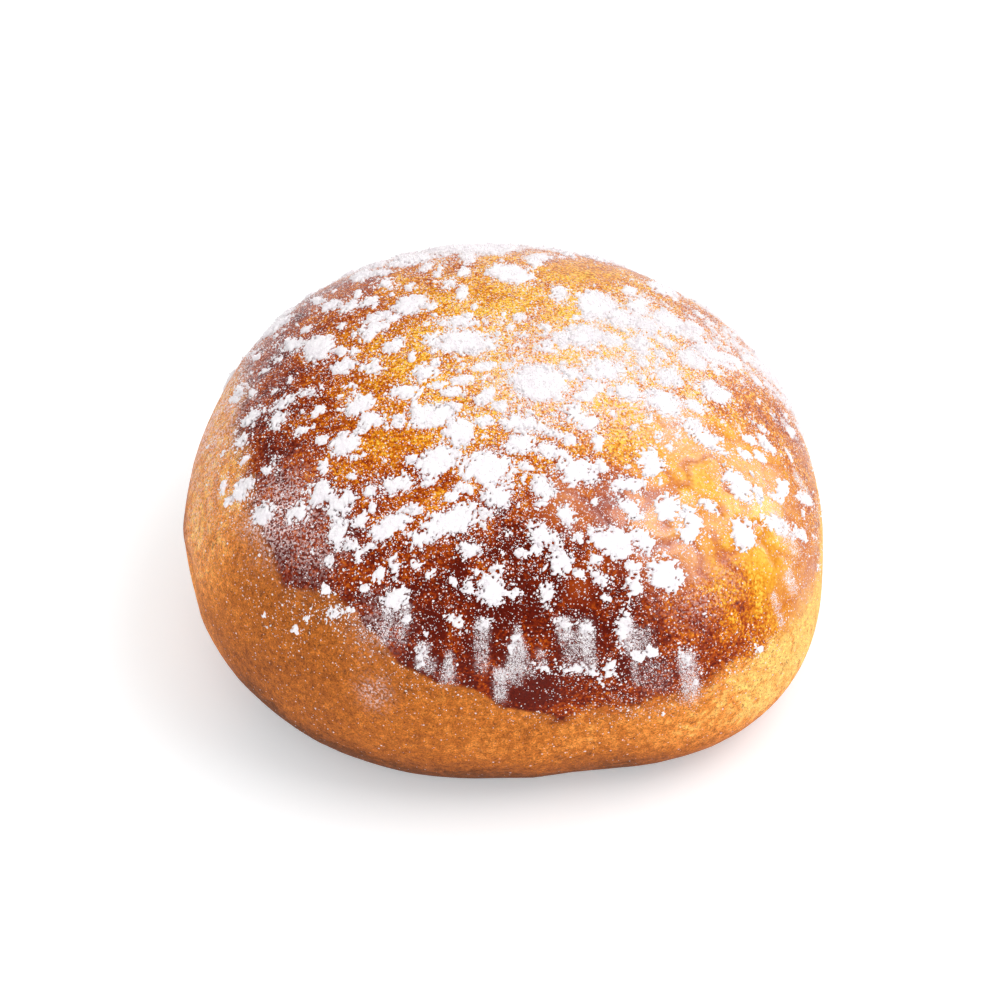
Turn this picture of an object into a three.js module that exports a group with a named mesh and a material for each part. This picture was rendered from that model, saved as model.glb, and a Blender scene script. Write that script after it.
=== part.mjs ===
// A sfogliatella of the smooth shortcrust kind: one domed, uneven, solid pastry on a flat base.
// Millimetres, +Z up. The origin is on the resting face, under the middle of the pastry, and -Y is its front.
import * as THREE from "three";

// Driving dimensions.
const MEAN_WIDTH = 94.6; // across the belly, before the lobes push it in and out
const HEIGHT = 54; // from the resting face to the crown
const BELLY_HEIGHT = 0.36 * HEIGHT; // where the wall bulges furthest
const UNDERCUT = 0.55 * HEIGHT; // how far the wall would turn in below the belly, if the base didn't cut it off
const BASE_ROUNDING = 1.8; // the soft edge between the wall and the base
const CROWN_LEAN = -0.7; // the crown's sideways shift along X, which grows with the square of the height

// Fullness of the profile: 2 is an ellipse, and more is squarer in the shoulder.
const DOME_FULLNESS = 2.2;
const WALL_FULLNESS = 2.6;

// The belly rides higher on one side.
const BELLY_TILT = { rise: 2.3, bearing: 167 };

// Waves round the outline: how many in a turn, how deep as a share of the radius, and the bearing of a high spot.
// The first set shapes the whole dome, and the second the wall alone, fading out towards the crown.
const DOME_LOBES = [
  { count: 2, depth: 0.0375, bearing: -4.6 },
  { count: 3, depth: 0.028, bearing: -30 },
  { count: 4, depth: 0.019, bearing: 45.8 },
];
const WALL_LOBES = [
  { count: 5, depth: 0.011, bearing: -35 },
  { count: 6, depth: 0.0076, bearing: 18.9 },
];
const WALL_FADE = 1.5; // the power of the height that the wall's waves fade with

// Fineness of the facets.
const BEARINGS = 84;
const RINGS = 42;

const CRUST = { color: 0xc06a24, roughness: 0.45, metalness: 0 };

/** The sum of a set of waves at a bearing, in radians, as a share of the radius. */
function waves(lobes, bearing) {
  return lobes.reduce(
    (sum, lobe) => sum + lobe.depth * Math.cos(lobe.count * (bearing - THREE.MathUtils.degToRad(lobe.bearing))),
    0,
  );
}

/** A height with everything below the resting face pressed flat, and a rounded edge where the two meet. */
function pressedFlat(height) {
  if (height > BASE_ROUNDING) return height;
  if (height < -BASE_ROUNDING) return 0;
  return (height + BASE_ROUNDING) ** 2 / (4 * BASE_ROUNDING);
}

/**
 * The pastry's surface as a function of two angles in radians: the bearing round the crown, and the tilt, which runs
 * from -90 degrees in the middle of the base over 0 at the belly to 90 degrees at the crown.
 */
function surfacePoint(bearing, tilt) {
  const above = tilt > 0;
  const across = Math.abs(Math.cos(tilt));
  const along = Math.abs(Math.sin(tilt)) ** (2 / DOME_FULLNESS);
  const tiltedBelly = Math.cos(bearing - THREE.MathUtils.degToRad(BELLY_TILT.bearing));
  const belly = BELLY_HEIGHT + BELLY_TILT.rise * tiltedBelly;
  const undercut = UNDERCUT * (belly / BELLY_HEIGHT);

  const height = pressedFlat(above ? belly + (HEIGHT - belly) * along : belly - undercut * along);
  const reach = across ** (2 / (above ? DOME_FULLNESS : WALL_FULLNESS));
  const fade = 1 - (height / HEIGHT) ** WALL_FADE;
  const outline = 1 + waves(DOME_LOBES, bearing) + fade * waves(WALL_LOBES, bearing);

  const radius = (MEAN_WIDTH / 2) * outline * reach;
  const lean = CROWN_LEAN * (height / HEIGHT) ** 2;
  return new THREE.Vector3(radius * Math.cos(bearing) + lean, radius * Math.sin(bearing), height);
}

/** The closed skin: a unit sphere whose every point is carried to the pastry's surface, centred over the origin. */
function pastryGeometry() {
  const geometry = new THREE.SphereGeometry(1, BEARINGS, RINGS).rotateX(Math.PI / 2);
  const position = geometry.getAttribute("position");
  for (let i = 0; i < position.count; i++) {
    const direction = new THREE.Vector3().fromBufferAttribute(position, i).normalize();
    const bearing = Math.atan2(direction.y, direction.x);
    const tilt = Math.asin(direction.z);
    position.setXYZ(i, ...surfacePoint(bearing, tilt).toArray());
  }
  geometry.computeBoundingBox();
  const middle = geometry.boundingBox.getCenter(new THREE.Vector3());
  geometry.translate(-middle.x, -middle.y, 0);
  geometry.computeVertexNormals();
  return geometry;
}

const pastry = new THREE.Mesh(pastryGeometry(), new THREE.MeshStandardMaterial(CRUST));
pastry.name = "pastry";

const sfogliatella = new THREE.Group();
sfogliatella.add(pastry);

export default sfogliatella;
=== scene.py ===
"""The looks of a smooth sfogliatella: a domed, egg-glazed pastry with icing sugar sifted over it.

The crust replaces the pastry's plain solid and follows the same formula, with the unevenness, wrinkles
and browning that an oven gives. The sugar lies on it as drifts, grains and dust, each one mesh. Places
on the pastry are given on its plan: the skin unrolled from the crown, where a point's distance from the
middle is its arc length down the side and its direction is its bearing. X points right, Y to the back,
and all lengths are in millimetres until a mesh is written.
"""

from __future__ import annotations

import itertools
import logging
import math
from dataclasses import dataclass, field
from enum import Enum
from functools import partial

import bpy
import numpy as np
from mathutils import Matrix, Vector

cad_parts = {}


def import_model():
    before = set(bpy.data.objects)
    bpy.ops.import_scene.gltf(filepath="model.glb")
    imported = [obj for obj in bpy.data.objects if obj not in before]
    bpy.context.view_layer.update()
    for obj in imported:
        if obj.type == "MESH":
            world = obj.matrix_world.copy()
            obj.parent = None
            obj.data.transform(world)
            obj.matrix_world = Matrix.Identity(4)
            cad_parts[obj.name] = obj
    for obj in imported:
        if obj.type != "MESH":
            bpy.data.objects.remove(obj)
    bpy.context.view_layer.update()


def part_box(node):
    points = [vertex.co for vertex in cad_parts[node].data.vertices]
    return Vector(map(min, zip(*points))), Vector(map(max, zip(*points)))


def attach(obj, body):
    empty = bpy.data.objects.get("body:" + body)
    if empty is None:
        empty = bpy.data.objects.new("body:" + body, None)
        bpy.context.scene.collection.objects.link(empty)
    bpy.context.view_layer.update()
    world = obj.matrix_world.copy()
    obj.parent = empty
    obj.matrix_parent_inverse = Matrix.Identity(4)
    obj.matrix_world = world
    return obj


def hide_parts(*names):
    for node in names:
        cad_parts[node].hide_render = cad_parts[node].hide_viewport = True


LOG = logging.getLogger("sfogliatella")
MM = 0.001  # one millimetre in the frame's metres
FULL_TURN = 2 * math.pi

Array = np.ndarray
Colour = tuple[float, float, float]
Node = bpy.types.Node
Socket = bpy.types.NodeSocket
Material = bpy.types.Material


# --------------------------------------------------------------------------------- numbers and noise


def smooth_step(low: float, high: float, value: Array) -> Array:
    """A soft switch from 0 below low to 1 above high: the cubic 3t^2 - 2t^3 in between.

    Args:
        low: The value where the switch starts to open.
        high: The value where it is fully open.
        value: The numbers to switch on.

    Returns:
        Numbers from 0 to 1, of the same shape as value.
    """
    share = np.clip((value - low) / (high - low), 0.0, 1.0)
    return share * share * (3.0 - 2.0 * share)


class Noise:
    """Seeded gradient noise in space, for everything on the pastry that is uneven. Where one noise serves
    for several patterns, the points are shifted for each, so that the patterns differ.
    """

    TABLE = 256  # how many random slopes there are before they repeat
    GAIN = 1.6  # what brings the blend's numbers to about -1 to 1
    LAYER_SHIFT = 31.7  # how far apart the layers of a fractal are taken, so that they don't line up

    def __init__(self, seed: int) -> None:
        """Draws the pattern.

        Args:
            seed: The number that fixes it.

        Returns:
            Nothing.
        """
        rng = np.random.default_rng(seed)
        slopes = rng.normal(size=(self.TABLE, 3))
        self.slopes = slopes / np.linalg.norm(slopes, axis=1, keepdims=True)
        self.order = rng.permutation(self.TABLE)

    def at(self, points: Array, size: float) -> Array:
        """Noise of one size: at each corner of a cubic lattice stands a random slope, and a point blends
        the eight planes through its cell's corners by the fifth-power fade of its place in the cell.

        Args:
            points: Points in millimetres, with the coordinates on the last axis.
            size: The width of a lattice cell in millimetres.

        Returns:
            Numbers from about -1 to 1, one for each point.
        """
        scaled = points / size
        cell = np.floor(scaled).astype(np.int64)
        local = scaled - cell
        fade = local**3 * (local * (local * 6.0 - 15.0) + 10.0)
        total = np.zeros(points.shape[:-1])
        for corner in itertools.product((0, 1), repeat=3):
            spot = (cell + corner) % self.TABLE
            pick = self.order[spot[..., 0]]
            pick = self.order[(pick + spot[..., 1]) % self.TABLE]
            pick = self.order[(pick + spot[..., 2]) % self.TABLE]
            weight = np.where(corner, fade, 1.0 - fade).prod(axis=-1)
            total += weight * (self.slopes[pick] * (local - corner)).sum(axis=-1)
        return total * self.GAIN

    def fractal(self, points: Array, size: float, octaves: int) -> Array:
        """The sum of several sizes of noise, each half as wide and half as strong as the one before.

        Args:
            points: Points in millimetres.
            size: The cell width of the coarsest noise.
            octaves: How many sizes are summed.

        Returns:
            Numbers from about -1 to 1.
        """
        shares = [0.5**octave for octave in range(octaves)]
        shifted = [points + self.LAYER_SHIFT * octave for octave in range(octaves)]
        layers = [share * self.at(place, size * share) for share, place in zip(shares, shifted)]
        return sum(layers) / sum(shares)


def round_the_crown(bearing: Array, stops: dict[float, float]) -> Array:
    """A value that changes round the crown, eased from one named bearing to the next by half a cosine wave.

    Args:
        bearing: Bearings in radians.
        stops: The value at each of a few bearings, which are given in degrees from 0 up to 360.

    Returns:
        The value at each bearing.
    """
    angles = np.array(sorted(stops))
    values = np.array([stops[angle] for angle in angles])
    turned = np.degrees(bearing) % 360.0
    after = np.searchsorted(angles, turned, side="right")
    before = (after - 1) % len(angles)
    after = after % len(angles)
    gap = (angles[after] - angles[before]) % 360.0
    share = ((turned - angles[before]) % 360.0) / gap
    eased = (1.0 - np.cos(math.pi * share)) / 2.0
    return values[before] * (1.0 - eased) + values[after] * eased


# ------------------------------------------------------------------------------------------ the dome


@dataclass(frozen=True)
class Lobe:
    """A wave round the outline: how many in a turn, its depth as a share of the radius, and its top."""

    count: int
    depth: float
    bearing: float


def waves(lobes: tuple[Lobe, ...], bearing: Array) -> Array:
    """The sum of some waves: each one's depth times the cosine of its count times the angle from its top.

    Args:
        lobes: The waves.
        bearing: Bearings in radians.

    Returns:
        The sum at each bearing, as a share of the radius.
    """
    return sum(lobe.depth * np.cos(lobe.count * (bearing - math.radians(lobe.bearing))) for lobe in lobes)


@dataclass
class Dome:
    """The plain outer shape, the same as the solid's: a domed top over a wall that turns in to a base."""

    low: Array
    high: Array
    belly_share: float = 0.36  # the height of the widest place as a share of the whole
    undercut_share: float = 0.55  # how far down the lower half would reach, were it not cut off flat
    base_rounding: float = 1.8  # how high the rounded edge of the base is
    crown_lean: float = -0.7  # how far the crown lies to the right of the middle
    mean_width_share: float = 0.98  # the mean width as a share of the size along X
    dome_fullness: float = 2.2  # the superellipse's power over the belly
    wall_fullness: float = 2.6  # and its power under it
    belly_rise: float = 2.3  # how much higher than the mean the belly lies on one side
    belly_bearing: float = 167.0  # where that side is
    wall_fade: float = 1.5  # how fast the wall's waves fade out upwards
    dome_lobes: tuple[Lobe, ...] = (Lobe(2, 0.0375, -4.6), Lobe(3, 0.028, -30.0), Lobe(4, 0.019, 45.8))
    wall_lobes: tuple[Lobe, ...] = (Lobe(5, 0.011, -35.0), Lobe(6, 0.0076, 18.9))
    profile_steps: int = 2000
    measured: tuple[int, int] = (360, 720)  # at how many arcs and bearings the raw shape is measured
    slope_step: float = 0.05  # the step on the plan over which a slope is measured

    def __post_init__(self) -> None:
        """Measures the mean profile's arc length, and moves and scales the shape into the solid's box.

        Returns:
            Nothing.
        """
        self.tilts = np.linspace(math.pi / 2, -math.pi / 2, self.profile_steps)
        reach, height, _ = self.profile(self.tilts, np.full_like(self.tilts, self.belly_share * self.height))
        steps = np.hypot(np.diff(reach * self.width * self.mean_width_share / 2), np.diff(height))
        self.arcs = np.concatenate([[0.0], np.cumsum(steps)])
        self.shift, self.scale = np.zeros(3), np.ones(3)
        arcs, bearings = self.measured
        turns, lengths = np.linspace(0, FULL_TURN, bearings), np.linspace(0, self.arcs[-1], arcs)
        bearing, arc = np.meshgrid(turns, lengths)
        raw = self.at(arc * np.cos(bearing), arc * np.sin(bearing)).reshape(-1, 3)
        raw_low, raw_high = raw.min(axis=0), raw.max(axis=0)
        self.scale = (self.high - self.low) / (raw_high - raw_low)
        self.shift = self.low - raw_low * self.scale

    @property
    def width(self) -> float:
        """The solid's size along X."""
        return self.high[0] - self.low[0]

    @property
    def height(self) -> float:
        """The solid's size along Z."""
        return self.high[2] - self.low[2]

    @property
    def girth_arc(self) -> float:
        """The arc length from the crown down to the belly, where the wall bulges furthest."""
        return float(np.interp(0.0, -self.tilts, self.arcs))

    def profile(self, tilt: Array, belly: Array) -> tuple[Array, Array, Array]:
        """The side view as a superellipse in two halves, the lower one fuller and cut off flat by the base.

        Args:
            tilt: The angle in radians from -90 degrees under the base over 0 at the belly to 90 at the
                crown.
            belly: The belly's height at each tilt.

        Returns:
            The reach as a share of the radius, the height, and the height as a share of the whole.
        """
        above = tilt > 0
        along = np.abs(np.sin(tilt)) ** (2.0 / self.dome_fullness)
        undercut = self.undercut_share * belly / self.belly_share
        height = np.where(above, belly + (self.height - belly) * along, belly - undercut * along)
        soft = (np.clip(height, -self.base_rounding, self.base_rounding) + self.base_rounding) ** 2
        height = np.where(height > self.base_rounding, height, soft / (4.0 * self.base_rounding))
        fullness = np.where(above, self.dome_fullness, self.wall_fullness)
        reach = np.abs(np.cos(tilt)) ** (2.0 / fullness)
        return reach, height, height / self.height

    def at(self, x: Array, y: Array) -> Array:
        """The plain surface over the plan: the plan's distance from the crown gives the tilt by arc length,
        and the profile's radius is multiplied by one plus the outline's waves, of which the wall's fade
        out with height.

        Args:
            x: Places on the plan, to the right of the crown.
            y: Places on the plan, behind the crown.

        Returns:
            Points on the surface, with the coordinates on a new last axis.
        """
        bearing = np.arctan2(y, x)
        tilt = np.interp(np.hypot(x, y), self.arcs, self.tilts)
        belly = self.belly_share * self.height
        belly = belly + self.belly_rise * np.cos(bearing - math.radians(self.belly_bearing))
        reach, height, rise = self.profile(tilt, belly)
        fade = 1.0 - rise**self.wall_fade
        outline = 1.0 + waves(self.dome_lobes, bearing) + fade * waves(self.wall_lobes, bearing)
        radius = self.width * self.mean_width_share / 2.0 * outline * reach
        lean = self.crown_lean * rise**2
        flat = np.stack([radius * np.cos(bearing) + lean, radius * np.sin(bearing), height], axis=-1)
        return flat * self.scale + self.shift

    def outward(self, x: Array, y: Array) -> Array:
        """The plain surface's unit normal: the cross product of two short steps along the plan's axes.

        Args:
            x: Places on the plan.
            y: Places on the plan.

        Returns:
            Unit vectors that point out of the pastry.
        """
        step = self.slope_step
        across = self.at(x + step, y) - self.at(x - step, y)
        back = self.at(x, y + step) - self.at(x, y - step)
        normal = np.cross(across, back)
        return normal / np.maximum(np.linalg.norm(normal, axis=-1, keepdims=True), 1e-12)


# ----------------------------------------------------------------------------- browning and the skin


@dataclass(frozen=True)
class Spot:
    """A round place on the plan, with the strength of what is there."""

    x: float
    y: float
    radius: float
    strength: float

    def share(self, x: Array, y: Array) -> Array:
        """What is felt of the spot at some places: its strength times a bell curve of the distance."""
        return self.strength * np.exp(-((x - self.x) ** 2 + (y - self.y) ** 2) / self.radius**2)


@dataclass
class Bake:
    """How the oven and the brush left the skin: where the egg glaze ends, and how brown each place is. Some
    of the browns are painted light: shade on the wall's left side, and highlights on the glaze.
    """

    noise: Noise
    glaze_edge: dict[float, float] = field(
        default_factory=lambda: {
            0: 58, 45: 54, 90: 52, 135: 52, 160: 50, 178: 46, 195: 44.5, 211: 45.5, 218: 48.3, 224: 50.8,
            229: 48.8, 234: 47.6, 239: 48.6, 243: 51.5, 251: 56.2, 258: 58.2, 263: 59.3, 272: 62.5,
            281: 65.4, 292: 65, 302: 64, 312: 62, 322: 61, 335: 61,
        }
    )  # arc from the crown to the glaze's edge, by bearing
    edge_softness: dict[float, float] = field(
        default_factory=lambda: {
            0: 5, 25: 4, 60: 3.5, 120: 3.5, 155: 5, 170: 7, 195: 5, 213: 4, 228: 1.2, 272: 1, 280: 2.2,
            289: 4.5, 308: 4,
        }
    )  # how many millimetres the glaze takes to cover fully from its edge inwards, by bearing
    dull: float = 0.05  # the shine that is left where no waxed place is
    waxed: tuple[Spot, ...] = (
        Spot(37, -18, 8, 1), Spot(25, -13, 5, 0.5), Spot(22, -29, 7, 0.9), Spot(8, -29, 3.5, 0.7),
        Spot(12, -41, 3, 0.5), Spot(9, -58, 5, 0.12), Spot(50, -27, 8, 0.6),
    )  # where the glaze dried smooth and still shines
    gold_middle: tuple[float, float] = (4.0, -1.0)  # the place on the plan that is baked palest
    gold_reach: dict[float, float] = field(
        default_factory=lambda: {
            0: 34, 30: 32, 60: 34, 90: 36, 120: 33, 150: 30.5, 180: 29, 215: 34.5, 240: 33,
            265: 30, 290: 36, 300: 39, 320: 40, 340: 40,
        }
    )  # how far the golden crown reaches from its middle, by bearing
    ring_strength: dict[float, float] = field(
        default_factory=lambda: {
            0: 0.27, 30: 0.28, 60: 0.34, 90: 0.32, 120: 0.42, 150: 0.56, 180: 0.7, 215: 0.84, 240: 0.88,
            275: 0.98, 290: 0.9, 300: 0.72, 311: 0.38, 320: 0.2, 340: 0.26,
        }
    )  # how dark the ring round the golden crown is baked, by bearing
    toast: dict[float, float] = field(
        default_factory=lambda: {
            0: 0.1, 40: 0.3, 90: 0.4, 140: 0.36, 175: 0.2, 203: 0.18, 215: 0.52, 226: 0.64, 246: 0.6,
            270: 0.46, 290: 0.4, 305: 0.28, 320: 0.04, 345: 0.02,
        }
    )  # how brown the bare wall is, by bearing
    scorches_and_highlights: tuple[Spot, ...] = (
        Spot(-34.5, -12, 2.2, 0.25), Spot(-19, -27, 1.3, 0.4), Spot(-33, 18, 1.6, 0.4),
        Spot(-6, 23.5, 1.4, 0.25), Spot(-13, -22, 4, 0.12), Spot(13, -23, 6, 0.3),
        Spot(21, -30, 5, -0.2), Spot(24, -21, 3.5, -0.12), Spot(10, -29, 3.5, -0.14),
        Spot(39, -23, 6, -0.26), Spot(30, -30, 7, -0.12),
        Spot(29, -39, 5, -0.06), Spot(20, -38, 4, -0.1), Spot(-27, -9, 4, 0.08), Spot(-16, -34, 7, -0.12),
        Spot(12, -41, 2.5, -0.25), Spot(4, -60, 3, 0.06), Spot(15, -60, 6, -0.26), Spot(27, -56, 6, -0.2),
        Spot(31, -14, 12, -0.07), Spot(18, 2, 12, -0.1), Spot(4, 2, 3, 0.12), Spot(38, -2, 3.5, 0.12),
        Spot(45, 3, 4, 0.25), Spot(31, -24, 4, 0.08), Spot(-12, -53, 6, 0.1),
    )  # small places baked darker, and paler places where the strength is negative; most paler ones, right of the crown and on its front right, are painted highlight and reflection
    left_wall_shade: tuple[Spot, ...] = (
        Spot(-61, -11, 4, 0.4), Spot(-60, -4, 4, 0.2), Spot(-63, -18, 3, 0.3), Spot(-63, -28, 9, 0.3),
        Spot(-60, -46, 9, 0.25),
    )  # painted shade: places on the wall's left side, and its fold there, drawn browner because they are turned from the light
    edge_wander: float = 1.3  # how far the glaze's edge wavers in and out
    edge_wave: float = 7.0  # and how long its waves are
    crown_brown: float = 0.1  # how brown the golden crown itself is
    ring_band: tuple[float, float] = (0.4, 1.45)  # where the ring starts and where it is darkest, in reaches
    foot_brown: float = 0.6  # how much browner the wall is at its foot
    foot_band: tuple[float, float] = (0.28, 0.02)  # the rises where that starts and where it is full

    def glaze_depth(self, x: Array, y: Array, points: Array) -> Array:
        """How far inside the glaze's edge a place is: the edge's arc less the place's own, plus noise.

        Args:
            x: Places on the plan.
            y: Places on the plan.
            points: The same places in space, which the noise is taken at.

        Returns:
            Millimetres, negative outside the glaze.
        """
        edge = round_the_crown(np.arctan2(y, x), self.glaze_edge)
        return edge - np.hypot(x, y) + self.edge_wander * self.noise.fractal(points, self.edge_wave, 3)

    def shine(self, x: Array, y: Array) -> Array:
        """How glossy the glaze is: nearly dull, and up to 1 in the waxed places."""
        return np.clip(self.dull + sum(spot.share(x, y) for spot in self.waxed), 0.0, 1.0)

    def glazed_brown(self, x: Array, y: Array, points: Array) -> Array:
        """How dark the glaze is baked: pale over the crown, then rising to the ring's strength, with small
        scorched spots, and paler spots of painted highlight right of the crown and on the front right.

        Args:
            x: Places on the plan.
            y: Places on the plan.
            points: The same places in space.

        Returns:
            Numbers from 0, golden, to 1, mahogany.
        """
        side, back = x - self.gold_middle[0], y - self.gold_middle[1]
        bearing = np.arctan2(back, side)
        outward = np.hypot(side, back) / round_the_crown(bearing, self.gold_reach)
        outward = outward + 0.16 * self.noise.fractal(points + 50.0, 12.0, 3)
        ring = smooth_step(*self.ring_band, outward) * round_the_crown(bearing, self.ring_strength)
        brown = self.crown_brown + (1.0 - self.crown_brown) * ring
        # Darker scorches, and paler spots of painted highlight and reflection.
        brown = brown + sum(spot.share(x, y) for spot in self.scorches_and_highlights)
        return np.clip(brown + 0.07 * self.noise.fractal(points + 90.0, 3.0, 3), 0.0, 1.0)

    def wall_brown(self, x: Array, y: Array, points: Array, rise: Array) -> Array:
        """How brown the bare wall is: its toast by bearing, darker towards the base's edge, and darker on
        its left side and in its fold there, where painted shade is added.

        Args:
            x: Places on the plan.
            y: Places on the plan.
            points: The same places in space.
            rise: The height of each place as a share of the whole.

        Returns:
            Numbers from 0, pale, to 1, brown.
        """
        brown = round_the_crown(np.arctan2(y, x), self.toast)
        brown = brown + self.foot_brown * smooth_step(*self.foot_band, rise)
        # Painted shade on the wall's left side.
        brown = brown + sum(spot.share(x, y) for spot in self.left_wall_shade)
        return np.clip(brown + 0.16 * self.noise.fractal(points + 140.0, 9.0, 4), 0.0, 1.0)


@dataclass
class Skin:
    """The crust's real surface: the dome's plain shape, moved in and out along its normal by the baking."""

    dome: Dome
    bake: Bake
    noise: Noise
    unevenness: float = 0.3
    unevenness_size: float = 17.0
    glaze_thickness: float = 0.1
    wrinkle_depth: float = 0.32
    crease_size: float = 6.5  # about how far one crease is from the next
    crease_width: float = 0.16  # in the noise's own units
    faint_wrinkling: float = 0.1  # how wrinkled the glaze is where nothing else is said
    wrinkled: tuple[Spot, ...] = (Spot(28, -24, 16, 1), Spot(-2, -36, 16, 0.3))
    pebble_depth: float = 0.05
    pebble_size: float = 2.6
    foot: tuple[float, float] = (-0.2, 2.5)  # between these heights the relief sets in, over the flat base
    dents: tuple[Spot, ...] = (
        Spot(-64.5, -18, 4.5, -1.1), Spot(-60, -12, 4, 0.35), Spot(8, -78, 9, 0.5),
    )  # pressed in, or bulging where the strength is positive

    def wrinkling(self, x: Array, y: Array) -> Array:
        """How wrinkled the glaze is: fully on the right of the front, and faintly elsewhere."""
        return self.faint_wrinkling + sum(spot.share(x, y) for spot in self.wrinkled)

    def creases(self, points: Array) -> Array:
        """Where the glaze is creased: 1 along the lines where a noise changes its sign, 0 away from them."""
        swing = self.noise.fractal(points + 200.0, self.crease_size, 2)
        return 1.0 - smooth_step(0.0, self.crease_width, np.abs(swing))

    def relief(self, x: Array, y: Array, points: Array) -> Array:
        """How far the skin stands out of the plain dome: broad unevenness, the glaze's thickness with a
        rounded edge, the wrinkles' sharp valleys, and the wall's pebbles.

        Args:
            x: Places on the plan.
            y: Places on the plan.
            points: The same places on the plain dome.

        Returns:
            Millimetres along the normal.
        """
        glazed = smooth_step(-0.8, 0.8, self.bake.glaze_depth(x, y, points))
        broad = self.unevenness * self.noise.fractal(points, self.unevenness_size, 2)
        wrinkles = -self.wrinkle_depth * self.wrinkling(x, y) * self.creases(points)
        pebbles = self.pebble_depth * self.noise.fractal(points + 260.0, self.pebble_size, 2)
        dents = sum(spot.share(x, y) for spot in self.dents)
        return broad + dents + glazed * (self.glaze_thickness + wrinkles) + (1.0 - glazed) * pebbles

    def at(self, x: Array, y: Array, lift: Array | float = 0.0) -> Array:
        """Points at a height over the skin: the plain dome's, plus the relief and the lift along its normal.

        Args:
            x: Places on the plan.
            y: Places on the plan.
            lift: How far over the skin the points are.

        Returns:
            Points, with the coordinates on a new last axis.
        """
        plain = self.dome.at(x, y)
        standing = (self.relief(x, y, plain) + lift) * smooth_step(*self.foot, plain[..., 2])
        return plain + self.dome.outward(x, y) * standing[..., None]


# ----------------------------------------------------------------------------------------- the sugar


@dataclass(frozen=True)
class Heap:
    """A clump of sugar on the plan: its middle, its length and width, and how far its length is turned."""

    x: float
    y: float
    long: float
    wide: float
    turn: float = 0.0


@dataclass(frozen=True)
class Smear:
    """Sugar that slid down the steep side: where its head is, how far it runs outwards, how wide and how
    thick it is on the average, and how much wider it gets, as a share of its width, from its middle to
    its end.
    """

    x: float
    y: float
    length: float
    width: float
    strength: float = 1.0
    flare: float = 0.0

    def share(self, x: Array, y: Array) -> Array:
        """How much dust the smear leaves: full at its head, thinning to its end and its sides.

        Args:
            x: Places on the plan.
            y: Places on the plan.

        Returns:
            The smear's strength where it is thickest, down to 0.
        """
        distance = math.hypot(self.x, self.y)
        out_x, out_y = self.x / distance, self.y / distance
        along = ((x - self.x) * out_x + (y - self.y) * out_y) / self.length
        half = 0.5 * self.width * np.maximum(1.0 + self.flare * (2.0 * along - 1.0), 0.1)
        aside = ((y - self.y) * out_x - (x - self.x) * out_y) / half
        down = smooth_step(-0.12, 0.04, along) * (1.0 - 0.3 * smooth_step(0.1, 0.6, along))
        down = down * (1.0 - smooth_step(0.7, 1.1, along))
        return self.strength * down * np.exp(-(aside**4))


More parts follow.
